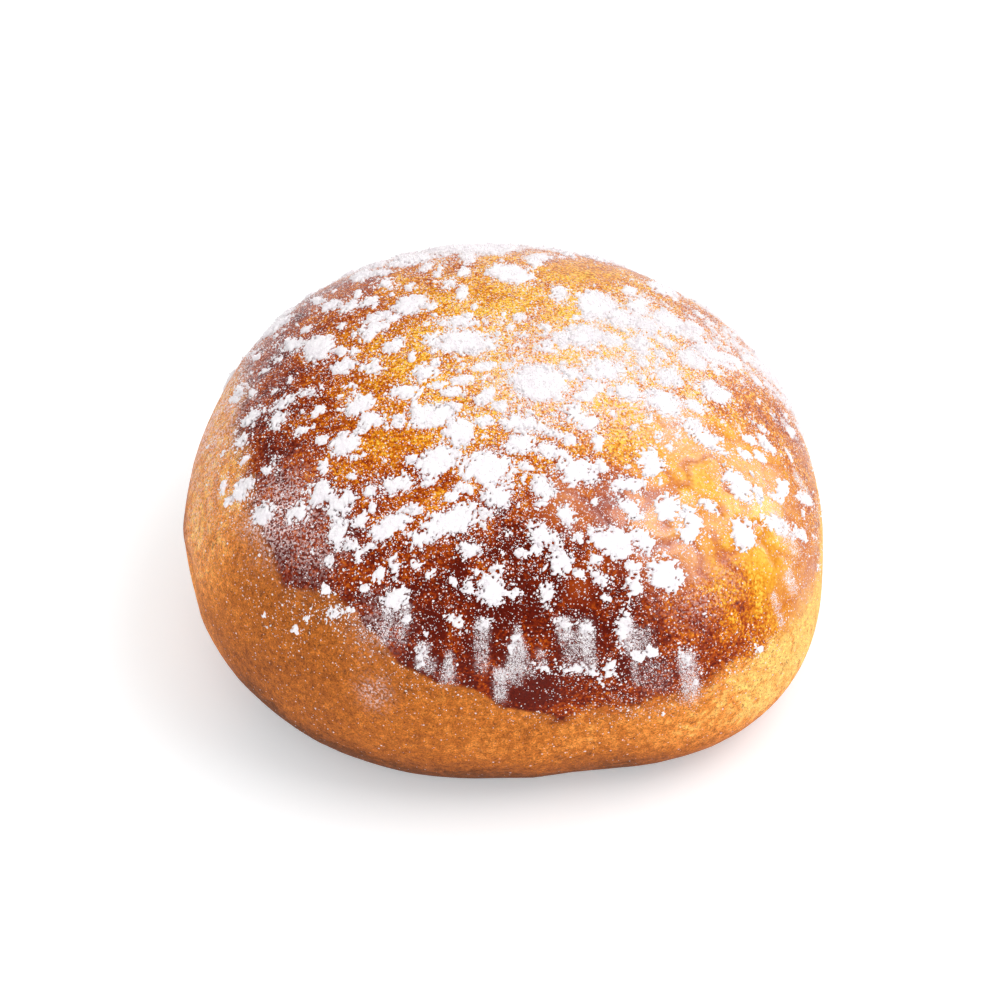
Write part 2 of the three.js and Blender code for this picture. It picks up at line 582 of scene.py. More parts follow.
@dataclass
class Sifting:
    """Where the icing sugar fell: the heaps that are there, the smears, and the dust between them."""

    dome: Dome
    bake: Bake
    noise: Noise
    seed: int = 7
    heaps: tuple[Heap, ...] = (
        # Left of the crown.
        Heap(-28, 5.5, 6.5, 4.5, -60), Heap(-33, 9.5, 5.5, 2.5, -45), Heap(-23.5, -0.5, 3.5, 3),
        Heap(-19, -2, 3.2, 2.4, -50), Heap(-16, 2, 3, 2.2, 30), Heap(-19.5, 6.5, 4.8, 3, 20),
        Heap(-14, 11.5, 5, 4.5, 60), Heap(-19, 9.5, 4, 2, 10), Heap(-20.5, 14.5, 2.6, 2.2),
        Heap(-23.5, 14.5, 3, 2.6), Heap(-27, 17, 3.6, 2.4, -30), Heap(-18, 19, 3.6, 2, -60),
        Heap(-8.5, 17, 2.6, 2, 90), Heap(-22.5, 26, 5, 3, -60), Heap(-38.5, -4, 3, 2.2, 20),
        Heap(-32.5, -4.5, 3, 1.8), Heap(-28.5, -4.3, 3, 1.3, -10), Heap(-33.5, -7.5, 2.8, 2.6),
        Heap(-40.5, -8, 2.4, 1.8), Heap(-40, -17, 3.6, 2.6, 15), Heap(-42.5, 5, 3.5, 2, -55),
        Heap(-20.5, -9, 4.2, 3.6), Heap(-18.5, -12, 3.6, 3.2), Heap(-22.5, -15.5, 4, 3.6),
        Heap(-13.5, -8, 3.8, 2.6, -10), Heap(-11, -4.5, 3.4, 2.8, 10), Heap(-36.5, -22.5, 3.7, 2.9),
        Heap(-26.5, -22.5, 4.6, 3.6, -20), Heap(-24, -25, 3.8, 3.4), Heap(-30.5, -24.5, 3.2, 2.4),
        Heap(-25, -29.5, 4.4, 2.6, 90), Heap(-19.7, -24, 2.2, 2),
        # The crown and just before it.
        Heap(-6, 1.5, 8.5, 4.6, -5), Heap(-6, 6, 5, 2), Heap(1, 20, 7.5, 5, -50),
        Heap(-10.5, -13, 6, 4.2, -20), Heap(-7, -17, 5.4, 4.2, 90), Heap(-10, -21.5, 6, 4.4, 30),
        Heap(-2.5, -24, 8, 5, -10), Heap(-16, -24, 3.8, 2.8), Heap(-1, -28.8, 4.6, 3.4),
        Heap(-17.5, -30.5, 6.4, 3.4, 15), Heap(-8.5, -32, 9, 4, 5), Heap(-13.5, -33.5, 3.4, 2.6),
        Heap(-5.5, -36.5, 3, 2.4), Heap(3, -16, 6, 3), Heap(2.5, -20, 4.4, 3), Heap(11, -22.8, 5.6, 4),
        Heap(7, -20.5, 4, 2.6), Heap(6, -27, 3.4, 3.6, 60), Heap(5, -7.5, 7, 6.5),
        Heap(11, -13, 5, 3.4, -45),
        # Right of the crown.
        Heap(14, 12, 7, 5, 90), Heap(17.5, 9.5, 5, 4), Heap(8.5, 14, 4, 2, 90), Heap(20.5, 14, 7, 2.6, 80),
        Heap(25.5, 12, 4.6, 4), Heap(12, 3.5, 5, 4), Heap(20.5, 4, 4, 2.2, 90), Heap(14, -3.5, 5, 3),
        Heap(24, -2, 3.2, 2.6), Heap(31.5, -2, 4.8, 3.4, 20), Heap(17, -7, 4, 3),
        Heap(22.5, -7.5, 5.4, 3.6), Heap(28, -11.5, 6.4, 3, -25), Heap(32, 7, 5, 3.2),
        Heap(39.5, -7.5, 3, 2.4), Heap(25.5, 25, 6, 4, 70), Heap(34, -17.5, 5.2, 3.4, -25),
        Heap(35.2, -24.7, 4, 4), Heap(42, -20.5, 6, 1.8, 15), Heap(20.5, -18.5, 4, 3.4, 90),
        Heap(18, -23, 4.4, 2.4, 10), Heap(23.5, -25, 4, 3.4, 90), Heap(27, -26.5, 5, 3, 80),
        Heap(18.5, -26.8, 4, 2.6, -30), Heap(29, -22.5, 2.6, 1.8),
        # The front.
        Heap(16.5, -32.8, 6.4, 4.2), Heap(20.5, -31, 4, 3), Heap(24.5, -35, 4.8, 4.6),
        Heap(9.5, -30.5, 3, 2.4, 90), Heap(6.5, -34.5, 5, 2.8, -20), Heap(9, -38, 3.6, 3),
        Heap(20.5, -38.5, 3.2, 2.4, 90), Heap(15.3, -38.8, 3, 1.8, -30), Heap(-2.5, -42.8, 4.6, 4),
        Heap(1.4, -43.5, 2, 1.8), Heap(-5.8, -42, 2.2, 2), Heap(-17.8, -37, 3, 1.5, 100),
        Heap(-18.3, -41.8, 3.6, 2.8), Heap(7, -43, 3, 2.2, 90), Heap(19.8, -45, 5, 2, 95),
        Heap(-15.3, -51, 3, 1.4, 70), Heap(-8.5, -47.3, 2.4, 1.6, -45), Heap(-3.8, -47.6, 2.4, 1.5),
        Heap(2, -49.8, 1.6, 1, 90), Heap(9.9, -46.9, 2, 1.8), Heap(13.8, -46.8, 2.1, 1.6),
        Heap(18.8, -52, 2, 1.8), Heap(12.5, -53.9, 7, 0.9, 5), Heap(31.2, -46.2, 2.4, 1.5, -40),
        Heap(-28, -41.5, 3, 1.5, -10),
    )
    fragments: tuple[Heap, ...] = (
        # Left of the crown.
        Heap(-30.8, 12.2, 2, 1.6), Heap(-22.5, 18, 2.4, 1.3, 90), Heap(-12, 24, 3.6, 1.4, 80),
        Heap(-10, 22.5, 3, 1, 80), Heap(-14.3, 16.8, 2.4, 1.2, 80), Heap(-6.3, 21, 3.4, 1.8, 85),
        Heap(-6.3, 13.8, 4, 1.6, 85), Heap(-16.6, 8.6, 2.6, 2), Heap(-11.2, 10.4, 2.6, 1.6, 10),
        Heap(-24.3, 3.2, 2.4, 1.6, -60), Heap(-22.2, 2.2, 2, 1.6, -45), Heap(-13.3, -1, 2, 1.2, 90),
        Heap(-39.3, 1.8, 3, 1.4, -60), Heap(-30, 22, 3.5, 1.6, -60), Heap(-26.8, -8.3, 2.4, 1.6, 10),
        Heap(-22, -4.9, 1.6, 1), Heap(-24.5, 9.5, 2, 1.2, 90), Heap(-6, -6.5, 3, 2),
        Heap(-43.7, 3.6, 3, 1.6, -50), Heap(-29, -11.1, 3.2, 1.3), Heap(-26, -13.8, 1.8, 1.5),
        Heap(-39.4, -11.8, 1.6, 1.4), Heap(-35, -15.7, 1.6, 1.2), Heap(-44.2, -14.2, 2, 1.6),
        Heap(-42.8, -17.3, 2.2, 1.6), Heap(-26, -18.3, 2.2, 1.8, 60), Heap(-21.3, -18, 1.6, 1.4),
        Heap(-14.6, -13.1, 2.6, 1.8, 70), Heap(-9.4, -7.2, 2.4, 1.4), Heap(-13.7, -20.3, 2, 1.6),
        Heap(-11.6, -24.8, 1.8, 1.4), Heap(-13.9, -28.9, 2.6, 2, -30), Heap(-21.7, -28.5, 2.2, 1.8),
        Heap(-23.6, -32, 2.6, 1.8, -30), Heap(-27.3, -33.4, 2, 1.4, 70), Heap(-21, -32.8, 2, 1.4),
        Heap(-14.2, -37.4, 2, 1.2), Heap(-12.3, -39.3, 1.6, 1), Heap(-28.6, -37.2, 1.8, 1.6),
        Heap(-33.3, -40.4, 1.6, 1), Heap(-22.6, -39, 1.4, 1.1), Heap(-36.4, -41.6, 2, 1),
        Heap(-25.8, -41.3, 1.6, 1, 20),
        # Behind and before the crown.
        Heap(19.5, 18.5, 3, 2.2, 80), Heap(2.4, 7.3, 2.2, 1.8), Heap(4.8, 26, 6, 2, 85),
        Heap(-5.5, 27, 5, 2, 90), Heap(21.5, 9.5, 4, 3), Heap(29.5, 13, 3, 3), Heap(28.8, 10, 3, 2.4),
        Heap(16, 3.2, 3, 3), Heap(28.2, 3.4, 4.2, 3.2), Heap(8.5, 2, 3, 2.6), Heap(-3, -4.3, 2.4, 1.6),
        Heap(9.5, -5, 3, 2), Heap(-7.5, -8.8, 3.4, 2), Heap(-8, -12, 3, 2.5),
        Heap(-2.8, -10.8, 3.6, 2.4, 45), Heap(-0.6, -13, 2.6, 2), Heap(-3, -15.6, 3, 1.6),
        Heap(7.2, -16.8, 2.6, 1.6), Heap(9.6, -17.4, 2.2, 1.8, 80), Heap(13.3, -17, 3, 1.4, 90),
        Heap(3.2, -23.5, 2.4, 1.4), Heap(-6.2, -26.8, 3, 1.6, -20), Heap(-8.4, -28, 2.2, 1.6),
        Heap(-3.4, -31.2, 2.6, 1.6), Heap(5.8, -29.4, 2, 1.2), Heap(11.2, -33.6, 2.2, 1.6),
        Heap(5.2, -36.6, 2, 1.6, 90), Heap(2.5, -37.6, 2.2, 1.2), Heap(8.2, -36.2, 2, 1.4),
        Heap(-1.6, -39.6, 3, 1.2), Heap(11.8, -39, 2, 1.4), Heap(14.4, -36.2, 2, 1.4),
        Heap(19.8, -35.6, 2.4, 1.8), Heap(16.4, -41.6, 1.4, 1.2),
        # Right of the crown.
        Heap(25.6, -25, 2.4, 1.6, 90), Heap(12.6, -7, 3, 2), Heap(11, -8.8, 2.4, 1.8),
        Heap(35.5, 8.5, 3.6, 2.4), Heap(27.5, -6.5, 3, 2), Heap(39, -4.6, 3.4, 1.2),
        Heap(36.6, -8.6, 2.4, 1.6), Heap(38, -10.8, 2.4, 1.6), Heap(35.2, -12, 2.4, 1.6),
        Heap(42.4, -14, 4, 2.2, 60), Heap(40.6, -16.4, 2.2, 1.6), Heap(37.4, -17.4, 3, 1.6, 90),
        Heap(47, -19, 4, 1.4, 15), Heap(43.4, -39.5, 1.8, 0.9, 20), Heap(49, -11.5, 5, 2, 30),
        Heap(47, 1.5, 4, 1.6, 40),
    )
    smears: tuple[Smear, ...] = (
        Smear(-18.9, -42.5, 6.5, 1.6, 0.45), Smear(-16.3, -43, 6, 1.3, 0.45),
        Smear(-18.5, -43.5, 5.5, 6, 0.12), Smear(-14.6, -49.5, 4.2, 2, 0.75),
        Smear(-13.4, -51.8, 2.6, 1.6, 0.5), Smear(-10.3, -51.6, 5.2, 2.1, 0.75, 0.5),
        Smear(-4.2, -47.8, 7.6, 2.4, 0.6), Smear(1.9, -48.6, 7.6, 3.3, 0.8, 0.75),
        Smear(1.4, -55, 3, 3, 0.3), Smear(-1.3, -55, 5.8, 2.4, 0.7), Smear(6.2, -51.8, 3, 1.8, 0.4, 0.3),
        Smear(9.8, -46.3, 3.6, 2.4, 0.75), Smear(13.6, -46.2, 7.5, 2.2, 0.6), Smear(12, -48, 5.5, 5, 0.3),
        Smear(20, -44, 5.5, 2.4, 0.7), Smear(22.5, -44.5, 5, 3.5, 0.25), Smear(22.7, -50, 4.2, 1.3, 0.35),
        Smear(26, -49, 5.5, 6, 0.12), Smear(30.8, -45.6, 9, 3, 0.6), Smear(44.5, -26.5, 4, 2.6, 0.5),
        Smear(40, -19.5, 8, 2.4, 0.6), Smear(42.5, -31, 6, 1.4, 0.45), Smear(46, -9, 6, 2.4, 0.4),
        Smear(45, 2, 5, 2, 0.4),
    )
    thick_places: tuple[Spot, ...] = (
        Spot(18, 4, 11, 0.4), Spot(31, 11, 9, 0.25), Spot(2, -7, 9, 0.35), Spot(2, -27, 12, 0.06),
        Spot(0, -54, 18, -0.05), Spot(-10, 38, 10, 0.45), Spot(-6, 6, 9, 0.15), Spot(24, -5, 8, 0.15),
        Spot(-42, 18, 9, 0.1), Spot(38, -31, 8, -0.07), Spot(45, 17, 9, 0.4), Spot(28, -45, 8, -0.03),
        Spot(0, 60, 24, 0.2), Spot(13, 22, 6, -0.12),
    )  # where the sieve passed more than once, or less than elsewhere
    thin_cover: float = 0.08  # how much dust lies everywhere else
    spill: dict[float, float] = field(
        default_factory=lambda: {0: 0, 60: 2, 120: 2, 180: 3, 220: 7, 248: 6, 270: 2, 300: 2, 325: -4}
    )  # how far past the glaze's edge it got, by bearing
    plan_reach: float = 66.0  # half the width of the plan that is looked at
    plan_step: float = 0.23  # the side of one cell of the plan's grid
    growth: float = 1.11  # how much wider the heaps are than their dense middles
    scattered: int = 600  # small lumps between the named heaps
    behind: int = 75  # heaps on the back, which is sugared like the front
    halo_reach: float = 6.0  # how far from a heap its halo of crumbs ends
    tearing: float = 1.1  # how far the heaps' edges are torn
    thickness: float = 0.42  # how thick a wide heap gets
    rim_height: float = 0.04  # and how thick a heap is at its very edge
    patchiness: float = 1.3  # how uneven the loose sugar lies
    patch_size: float = 2.6
    lumpiness: float = 0.5  # how uneven the heaps are on top
    lump_size: float = 1.4
    weaker_halo: float = 0.6  # the small lumps' halos are as weak as a heap's from this much further away
    hidden_from: tuple[float, float] = (24.0, 31.0)  # how far behind the crown the heaps are drawn at random

    def __post_init__(self) -> None:
        """Lays a grid over the plan, and works out the fields on it: spread, smeared, halo and patchy,
        which say how much sugar each place got, and heaped and lumped, which say how high it lies there.

        Returns:
            Nothing.
        """
        self.rng = np.random.default_rng(self.seed)
        side = np.arange(-self.plan_reach, self.plan_reach, self.plan_step)
        self.x, self.y = np.meshgrid(side, side)
        points = self.dome.at(self.x, self.y)
        on_top = np.hypot(self.x, self.y) < self.dome.girth_arc
        self.spread = self.reach(self.x, self.y, points) * on_top
        self.smeared = np.clip(sum(smear.share(self.x, self.y) for smear in self.smears), 0.0, 1.0)
        in_heaps = self.depth_in(np.concatenate([self.rows_of(self.heaps), self.heaps_behind()]))
        in_lumps = self.depth_in(np.concatenate([self.rows_of(self.fragments), self.loose_lumps()]))
        self.halo = np.exp(np.minimum(np.maximum(in_heaps, in_lumps - self.weaker_halo), 0.0))
        self.patchy = np.exp(self.patchiness * self.noise.fractal(points + 70.0, self.patch_size, 3))
        torn = self.tearing * self.tears(points)
        lumpy = 1.0 + self.lumpiness * self.noise.fractal(points + 400.0, self.lump_size, 3)
        self.heaped = self.piled(in_heaps + torn, lumpy)
        self.lumped = np.where(self.heaped > 0, 0.0, self.piled(in_lumps + 0.5 * torn, lumpy))
        self.lie = np.maximum(self.heaped, self.lumped)

    def tears(self, points: Array) -> Array:
        """How far the heaps' edges are torn out or in: three sizes of noise added up, the coarsest the most.

        Args:
            points: The grid's places in space.

        Returns:
            Numbers about 0, one for each grid cell.
        """
        coarse = self.noise.fractal(points, 1.9, 2)
        finer = 0.8 * self.noise.fractal(points + 300.0, 0.8, 2)
        finest = 0.9 * self.noise.at(points + 500.0, 0.45)
        return coarse + finer - 0.1 + finest

    def rows_of(self, heaps: tuple[Heap, ...]) -> Array:
        """Heaps as rows of x, y, long, wide and turn in radians, grown to their loose edges."""
        grown = self.growth
        return np.array([(h.x, h.y, grown * h.long, grown * h.wide, math.radians(h.turn)) for h in heaps])

    def reach(self, x: Array, y: Array, points: Array) -> Array:
        """How much of the sifted sugar reached a place: most on the crown, none far past the glaze's edge.

        Args:
            x: Places on the plan.
            y: Places on the plan.
            points: The same places in space.

        Returns:
            Numbers from 0 to 1.
        """
        spill = round_the_crown(np.arctan2(y, x), self.spill)
        inside = smooth_step(-1.0, 1.0, (self.bake.glaze_depth(x, y, points) + spill * 0.5) / (4.0 + spill))
        thick = sum(spot.share(x, y) for spot in self.thick_places)
        return inside * np.clip(self.thin_cover + thick, 0.0, 1.0)

    def pick_places(self, weight: Array, count: int) -> tuple[Array, Array, Array]:
        """Draws places on the plan: a cell of its grid by weight, then any spot within the cell.

        Args:
            weight: A number for each grid cell, 0 or more.
            count: How many places to draw.

        Returns:
            The x and y of each place, and the number of its grid cell.
        """
        summed = np.cumsum(weight.ravel())
        cell = np.searchsorted(summed, self.rng.uniform(0.0, summed[-1], count))
        nudge = self.rng.uniform(-0.5, 0.5, (2, count)) * self.plan_step
        return self.x.ravel()[cell] + nudge[0], self.y.ravel()[cell] + nudge[1], cell

    def heaps_behind(self) -> Array:
        """Draws heaps for the back of the dome, of the same sizes as the named ones.

        Returns:
            Rows of x, y, long, wide and turn.
        """
        hidden = smooth_step(*self.hidden_from, self.y + 0.2 * np.abs(self.x))
        x, y, _ = self.pick_places(self.spread * hidden, self.behind)
        long = self.rng.uniform(2.2, 6.5, self.behind)
        wide = long * self.rng.uniform(0.5, 0.9, self.behind)
        return np.stack([x, y, long, wide, self.rng.uniform(0, math.pi, self.behind)], axis=1)

    def loose_lumps(self) -> Array:
        """Draws the small lumps between the heaps.

        Returns:
            Rows of x, y, long, wide and turn.
        """
        x, y, _ = self.pick_places(self.spread**1.4, self.scattered)
        long = np.clip(self.rng.lognormal(0.0, 0.4, self.scattered), 0.6, 2.6)
        wide = long * self.rng.uniform(0.55, 0.95, self.scattered)
        return np.stack([x, y, long, wide, self.rng.uniform(0, math.pi, self.scattered)], axis=1)

    def depth_in(self, heaps: Array) -> Array:
        """How deep each grid cell lies inside a heap. Across an ellipse this is one less the distance from
        its middle, counted in its half-widths, times its shorter half-width. Where heaps meet, the
        deepest counts.

        Args:
            heaps: Rows of x, y, long, wide and turn.

        Returns:
            Millimetres inside the nearest heap's edge, negative outside.
        """
        depth = np.full(self.x.shape, -self.halo_reach)
        for x, y, long, wide, turn in heaps:
            reach = long / 2.0 + self.halo_reach
            near_x = np.searchsorted(self.x[0], (x - reach, x + reach))
            near_y = np.searchsorted(self.x[0], (y - reach, y + reach))
            window = slice(*near_y), slice(*near_x)
            side, back = self.x[window] - x, self.y[window] - y
            along = (side * math.cos(turn) + back * math.sin(turn)) / (long / 2.0)
            aside = (back * math.cos(turn) - side * math.sin(turn)) / (wide / 2.0)
            depth[window] = np.maximum(depth[window], (1.0 - np.hypot(along, aside)) * wide / 2.0)
        return depth

    def piled(self, depth: Array, lumpy: Array) -> Array:
        """How high sugar lies at a depth inside a heap: steep at the edge, then levelling out.

        Args:
            depth: Millimetres inside the heap's torn edge.
            lumpy: What the height is multiplied by, about 1.

        Returns:
            The height over the skin in millimetres, 0 outside.
        """
        height = self.thickness * (1.0 - np.exp(-np.clip(depth, 0.0, None) / self.thickness))
        return np.where(depth > 0.0, self.rim_height + height * lumpy, 0.0)

    def field_at(self, values: Array, x: Array, y: Array) -> Array:
        """Reads a field between its grid points, as the four round a place weighted by nearness.

        Args:
            values: The field over the grid.
            x: Places on the plan.
            y: Places on the plan.

        Returns:
            The field's value at each place.
        """
        across = np.clip((x + self.plan_reach) / self.plan_step, 0, values.shape[1] - 1.001)
        back = np.clip((y + self.plan_reach) / self.plan_step, 0, values.shape[0] - 1.001)
        column, row = across.astype(int), back.astype(int)
        s, t = across - column, back - row
        near = values[row, column] * (1 - s) + values[row, column + 1] * s
        far = values[row + 1, column] * (1 - s) + values[row + 1, column + 1] * s
        return near * (1 - t) + far * t


# -------------------------------------------------------------------------------------------- meshes


def new_piece(
    name: str, points: Array, faces: Array, smooth: bool, values: dict[str, Array] | None = None
) -> bpy.types.Object:
    """Puts arrays into a mesh and gives it to a new object, which rides on the pastry's one body.

    Args:
        name: The piece's name.
        points: Vertex places in millimetres, one row each.
        faces: Vertex numbers, one row of three for each triangle, turning left as seen from outside.
        smooth: Whether the faces are shaded as one round surface.
        values: A number for each vertex, for each named attribute that the finish reads.

    Returns:
        The new object.
    """
    mesh = bpy.data.meshes.new(name)
    mesh.vertices.add(len(points))
    mesh.vertices.foreach_set("co", (points * MM).astype(np.float32).ravel())
    mesh.loops.add(faces.size)
    mesh.loops.foreach_set("vertex_index", faces.astype(np.int32).ravel())
    mesh.polygons.add(len(faces))
    mesh.polygons.foreach_set("loop_start", np.arange(0, faces.size, 3, dtype=np.int32))
    mesh.polygons.foreach_set("use_smooth", np.full(len(faces), smooth))
    mesh.update(calc_edges=True)
    for label, numbers in (values or {}).items():
        attribute = mesh.attributes.new(label, "FLOAT", "POINT")
        attribute.data.foreach_set("value", numbers.astype(np.float32).ravel())
    piece = bpy.data.objects.new(name, mesh)
    bpy.context.scene.collection.objects.link(piece)
    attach(piece, "root")
    return piece


def quad_triangles(a: Array, b: Array, c: Array, d: Array) -> Array:
    """Splits four-cornered cells into triangles.

    Args:
        a: The first corner's vertex number of each cell.
        b: The second corner's, going round.
        c: The third corner's.
        d: The fourth corner's.

    Returns:
        Two rows of three vertex numbers for each cell.
    """
    first = np.stack([a, b, c], axis=-1).reshape(-1, 3)
    second = np.stack([a, c, d], axis=-1).reshape(-1, 3)
    return np.concatenate([first, second])


def scattered(
    template: Array,
    faces: Array,
    middles: Array,
    radii: Array,
    rng: np.random.Generator,
    stretch: tuple[float, float] = (0.7, 1.3),
) -> tuple[Array, Array]:
    """Copies a small solid to many places. Each copy's corners are stretched along each axis, turned by the
    rotation matrix of a random unit quaternion, and moved to its middle.

    Args:
        template: The solid's corners, about one unit from its middle.
        faces: The solid's triangles.
        middles: Where the copies go, one row each.
        radii: How large each copy is.
        rng: The source of the turns and stretches.
        stretch: The least and the most that a copy is stretched.

    Returns:
        The points and the triangles of all the copies together.
    """
    count = len(middles)
    spin = rng.normal(size=(count, 4))
    w, x, y, z = (spin / np.linalg.norm(spin, axis=1, keepdims=True)).T
    turn = np.stack(
        [
            np.stack([1 - 2 * (y * y + z * z), 2 * (x * y - z * w), 2 * (x * z + y * w)], axis=-1),
            np.stack([2 * (x * y + z * w), 1 - 2 * (x * x + z * z), 2 * (y * z - x * w)], axis=-1),
            np.stack([2 * (x * z - y * w), 2 * (y * z + x * w), 1 - 2 * (x * x + y * y)], axis=-1),
        ],
        axis=1,
    )
    stretched = template[None] * rng.uniform(*stretch, (count, 1, 3)) * radii[:, None, None]
    points = np.einsum("nij,nkj->nki", turn, stretched) + middles[:, None, :]
    numbers = faces[None] + len(template) * np.arange(count)[:, None, None]
    return points.reshape(-1, 3), numbers.reshape(-1, 3)


class Solid(Enum):
    """The small solids that sugar is made of, as corners and triangles."""

    TETRAHEDRON = 4
    OCTAHEDRON = 8

    def shape(self) -> tuple[Array, Array]:
        """The solid's corners, one unit from its middle, and the triangles of its hull.

        Returns:
            The corners and the triangles, which turn left as seen from outside.
        """
        if self is Solid.TETRAHEDRON:
            corners = np.array([(1, 1, 1), (1, -1, -1), (-1, 1, -1), (-1, -1, 1)], float)
        else:
            corners = np.concatenate([np.eye(3), -np.eye(3)])
        corners /= np.linalg.norm(corners, axis=1, keepdims=True)
        gaps = np.linalg.norm(corners[:, None] - corners[None], axis=-1)
        edge = gaps[gaps > 0.1].min() * 1.01
        faces = []
        for a, b, c in itertools.combinations(range(len(corners)), 3):
            if max(gaps[a, b], gaps[b, c], gaps[a, c]) < edge:
                facing = np.linalg.det(corners[[a, b, c]]) > 0
                faces.append((a, b, c) if facing else (a, c, b))
        return corners, np.array(faces)


# ------------------------------------------------------------------------------------------ finishes


class Graph:
    """A shader node tree, filled by naming each node's kind and what feeds its inputs."""

    BUMP_STRENGTH = 0.7  # every bump is a little softened

    def __init__(self, tree: bpy.types.NodeTree) -> None:
        """Starts on a tree."""
        self.tree = tree

    def feed(self, node: Node, inputs: dict[str | int, object]) -> None:
        """Fills a node's inputs.

        Args:
            node: The node.
            inputs: What goes into its inputs, by name or number: a socket to link, or a value.

        Returns:
            Nothing.
        """
        for name, value in inputs.items():
            if isinstance(value, bpy.types.NodeSocket):
                self.tree.links.new(value, node.inputs[name])
            else:
                node.inputs[name].default_value = value

    def add(self, kind: str, inputs: dict[str | int, object] | None = None, **settings: object) -> Node:
        """Adds a node.

        Args:
            kind: The node's type.
            inputs: What goes into its inputs, by name or number: a socket to link, or a value.
            settings: The node's own properties.

        Returns:
            The new node.
        """
        node = self.tree.nodes.new(kind)
        for name, value in settings.items():
            setattr(node, name, value)
        self.feed(node, inputs or {})
        return node

    def maths(self, operation: str, *values: object) -> Socket:
        """The result of a Math node on one to three values or sockets."""
        return self.add("ShaderNodeMath", dict(enumerate(values)), operation=operation).outputs[0]

    def ease(self, value: object, low: float, high: float, start: float = 0.0, end: float = 1.0) -> Socket:
        """Carries a value's range from low to high over to start to end, easing in and out.

        Args:
            value: The socket to read.
            low: The value that gives start.
            high: The value that gives end.
            start: The result up to low.
            end: The result from high on.

        Returns:
            The result's socket.
        """
        inputs = {"Value": value, "From Min": low, "From Max": high, "To Min": start, "To Max": end}
        return self.add("ShaderNodeMapRange", inputs, interpolation_type="SMOOTHSTEP").outputs[0]

    def blend(self, share: object, first: object, second: object) -> Socket:
        """A number between two others, of which the share says how much of the second it has."""
        return self.add("ShaderNodeMix", {0: share, 2: first, 3: second}, data_type="FLOAT").outputs[0]

    def mix(self, share: object, first: object, second: object, blend: str = "MIX") -> Socket:
        """Mixes two colours.

        Args:
            share: How much of the second shows.
            first: The first colour, as a socket or four numbers.
            second: The second colour.
            blend: The way the second is laid over the first.

        Returns:
            The mixed colour's socket.
        """
        inputs = {0: share, 6: first, 7: second}
        return self.add("ShaderNodeMix", inputs, data_type="RGBA", blend_type=blend).outputs[2]

    def noise(self, place: object, size: float, detail: float = 2.0, distortion: float = 0.0) -> Socket:
        """A Noise Texture.

        Args:
            place: The coordinates' socket, in metres.
            size: The width of its largest features in millimetres.
            detail: How many finer layers it has.
            distortion: How far it is warped.

        Returns:
            Its value's socket, about 0.5 on average.
        """
        inputs = {"Vector": place, "Scale": 1.0 / (size * MM), "Detail": detail, "Distortion": distortion}
        return self.add("ShaderNodeTexNoise", inputs).outputs[0]

    def swing(
        self, place: object, size: float, reach: float, detail: float = 2.0, warp: float = 0.0
    ) -> Socket:
        """A Noise Texture about 0: twice the noise less one, times the reach.

        Args:
            place: The coordinates' socket, in metres.
            size: The width of its largest features in millimetres.
            reach: How far from 0 it could get.
            detail: How many finer layers it has.
            warp: How far it is warped.

        Returns:
            Its value's socket.
        """
        return self.maths("MULTIPLY_ADD", self.noise(place, size, detail, warp), 2.0 * reach, -reach)

    def bump(self, height: Socket) -> Socket:
        """The normal that a height in millimetres gives the surface."""
        inputs = {"Strength": self.BUMP_STRENGTH, "Distance": MM, "Height": height}
        return self.add("ShaderNodeBump", inputs).outputs[0]

    def attribute(self, name: str) -> Socket:
        """The number that the mesh holds for each vertex under a name."""
        return self.add("ShaderNodeAttribute", attribute_name=name).outputs["Fac"]

    def ramp(self, value: object, stops: tuple[tuple[float, Colour], ...]) -> Socket:
        """A colour ramp.

        Args:
            value: The socket that picks the colour, from 0 to 1.
            stops: The places of its colours, and the colours.

        Returns:
            The colour's socket.
        """
        node = self.add("ShaderNodeValToRGB", {0: value})
        elements = node.color_ramp.elements
        while len(elements) < len(stops):
            elements.new(1.0)
        for element, (place, colour) in zip(elements, stops):
            element.position = place
            element.color = (*colour, 1.0)
        return node.outputs[0]


def new_group(name: str, inputs: dict[str, str], outputs: dict[str, str]) -> tuple[Graph, Node, Node]:
    """Starts a shader node group.

    Args:
        name: The group's name.
        inputs: The socket type of each named input.
        outputs: The socket type of each named output.

    Returns:
        The group's graph, its input node and its output node.
    """
    tree = bpy.data.node_groups.new(name, "ShaderNodeTree")
    for label, kind in inputs.items():
        tree.interface.new_socket(name=label, in_out="INPUT", socket_type=kind)
    for label, kind in outputs.items():
        tree.interface.new_socket(name=label, in_out="OUTPUT", socket_type=kind)
    graph = Graph(tree)
    return graph, graph.add("NodeGroupInput"), graph.add("NodeGroupOutput")


def grain_group() -> bpy.types.NodeTree:
    """The fine grain of flour and sugar: two sizes of noise added up.

    Returns:
        A group that takes Place, Scale and Contrast, and gives Shade, which is 1 on average, and Height.
    """
    kinds = {"Place": "NodeSocketVector", "Scale": "NodeSocketFloat", "Contrast": "NodeSocketFloat"}
    results = {"Shade": "NodeSocketFloat", "Height": "NodeSocketFloat"}
    graph, start, end = new_group("fine_grain", kinds, results)
    place, scale, contrast = (start.outputs[label] for label in kinds)
    coarse = graph.add("ShaderNodeTexNoise", {"Vector": place, "Scale": scale, "Detail": 2.0}).outputs[0]
    finer = graph.maths("MULTIPLY", scale, 2.7)
    fine = graph.add("ShaderNodeTexNoise", {"Vector": place, "Scale": finer, "Detail": 1.0}).outputs[0]
    height = graph.maths("MULTIPLY_ADD", fine, 0.5, graph.maths("MULTIPLY", coarse, 0.5))
    swing = graph.maths("MULTIPLY", graph.maths("SUBTRACT", height, 0.5), contrast)
    graph.feed(end, {"Shade": graph.maths("ADD", swing, 1.0), "Height": height})
    return graph.tree


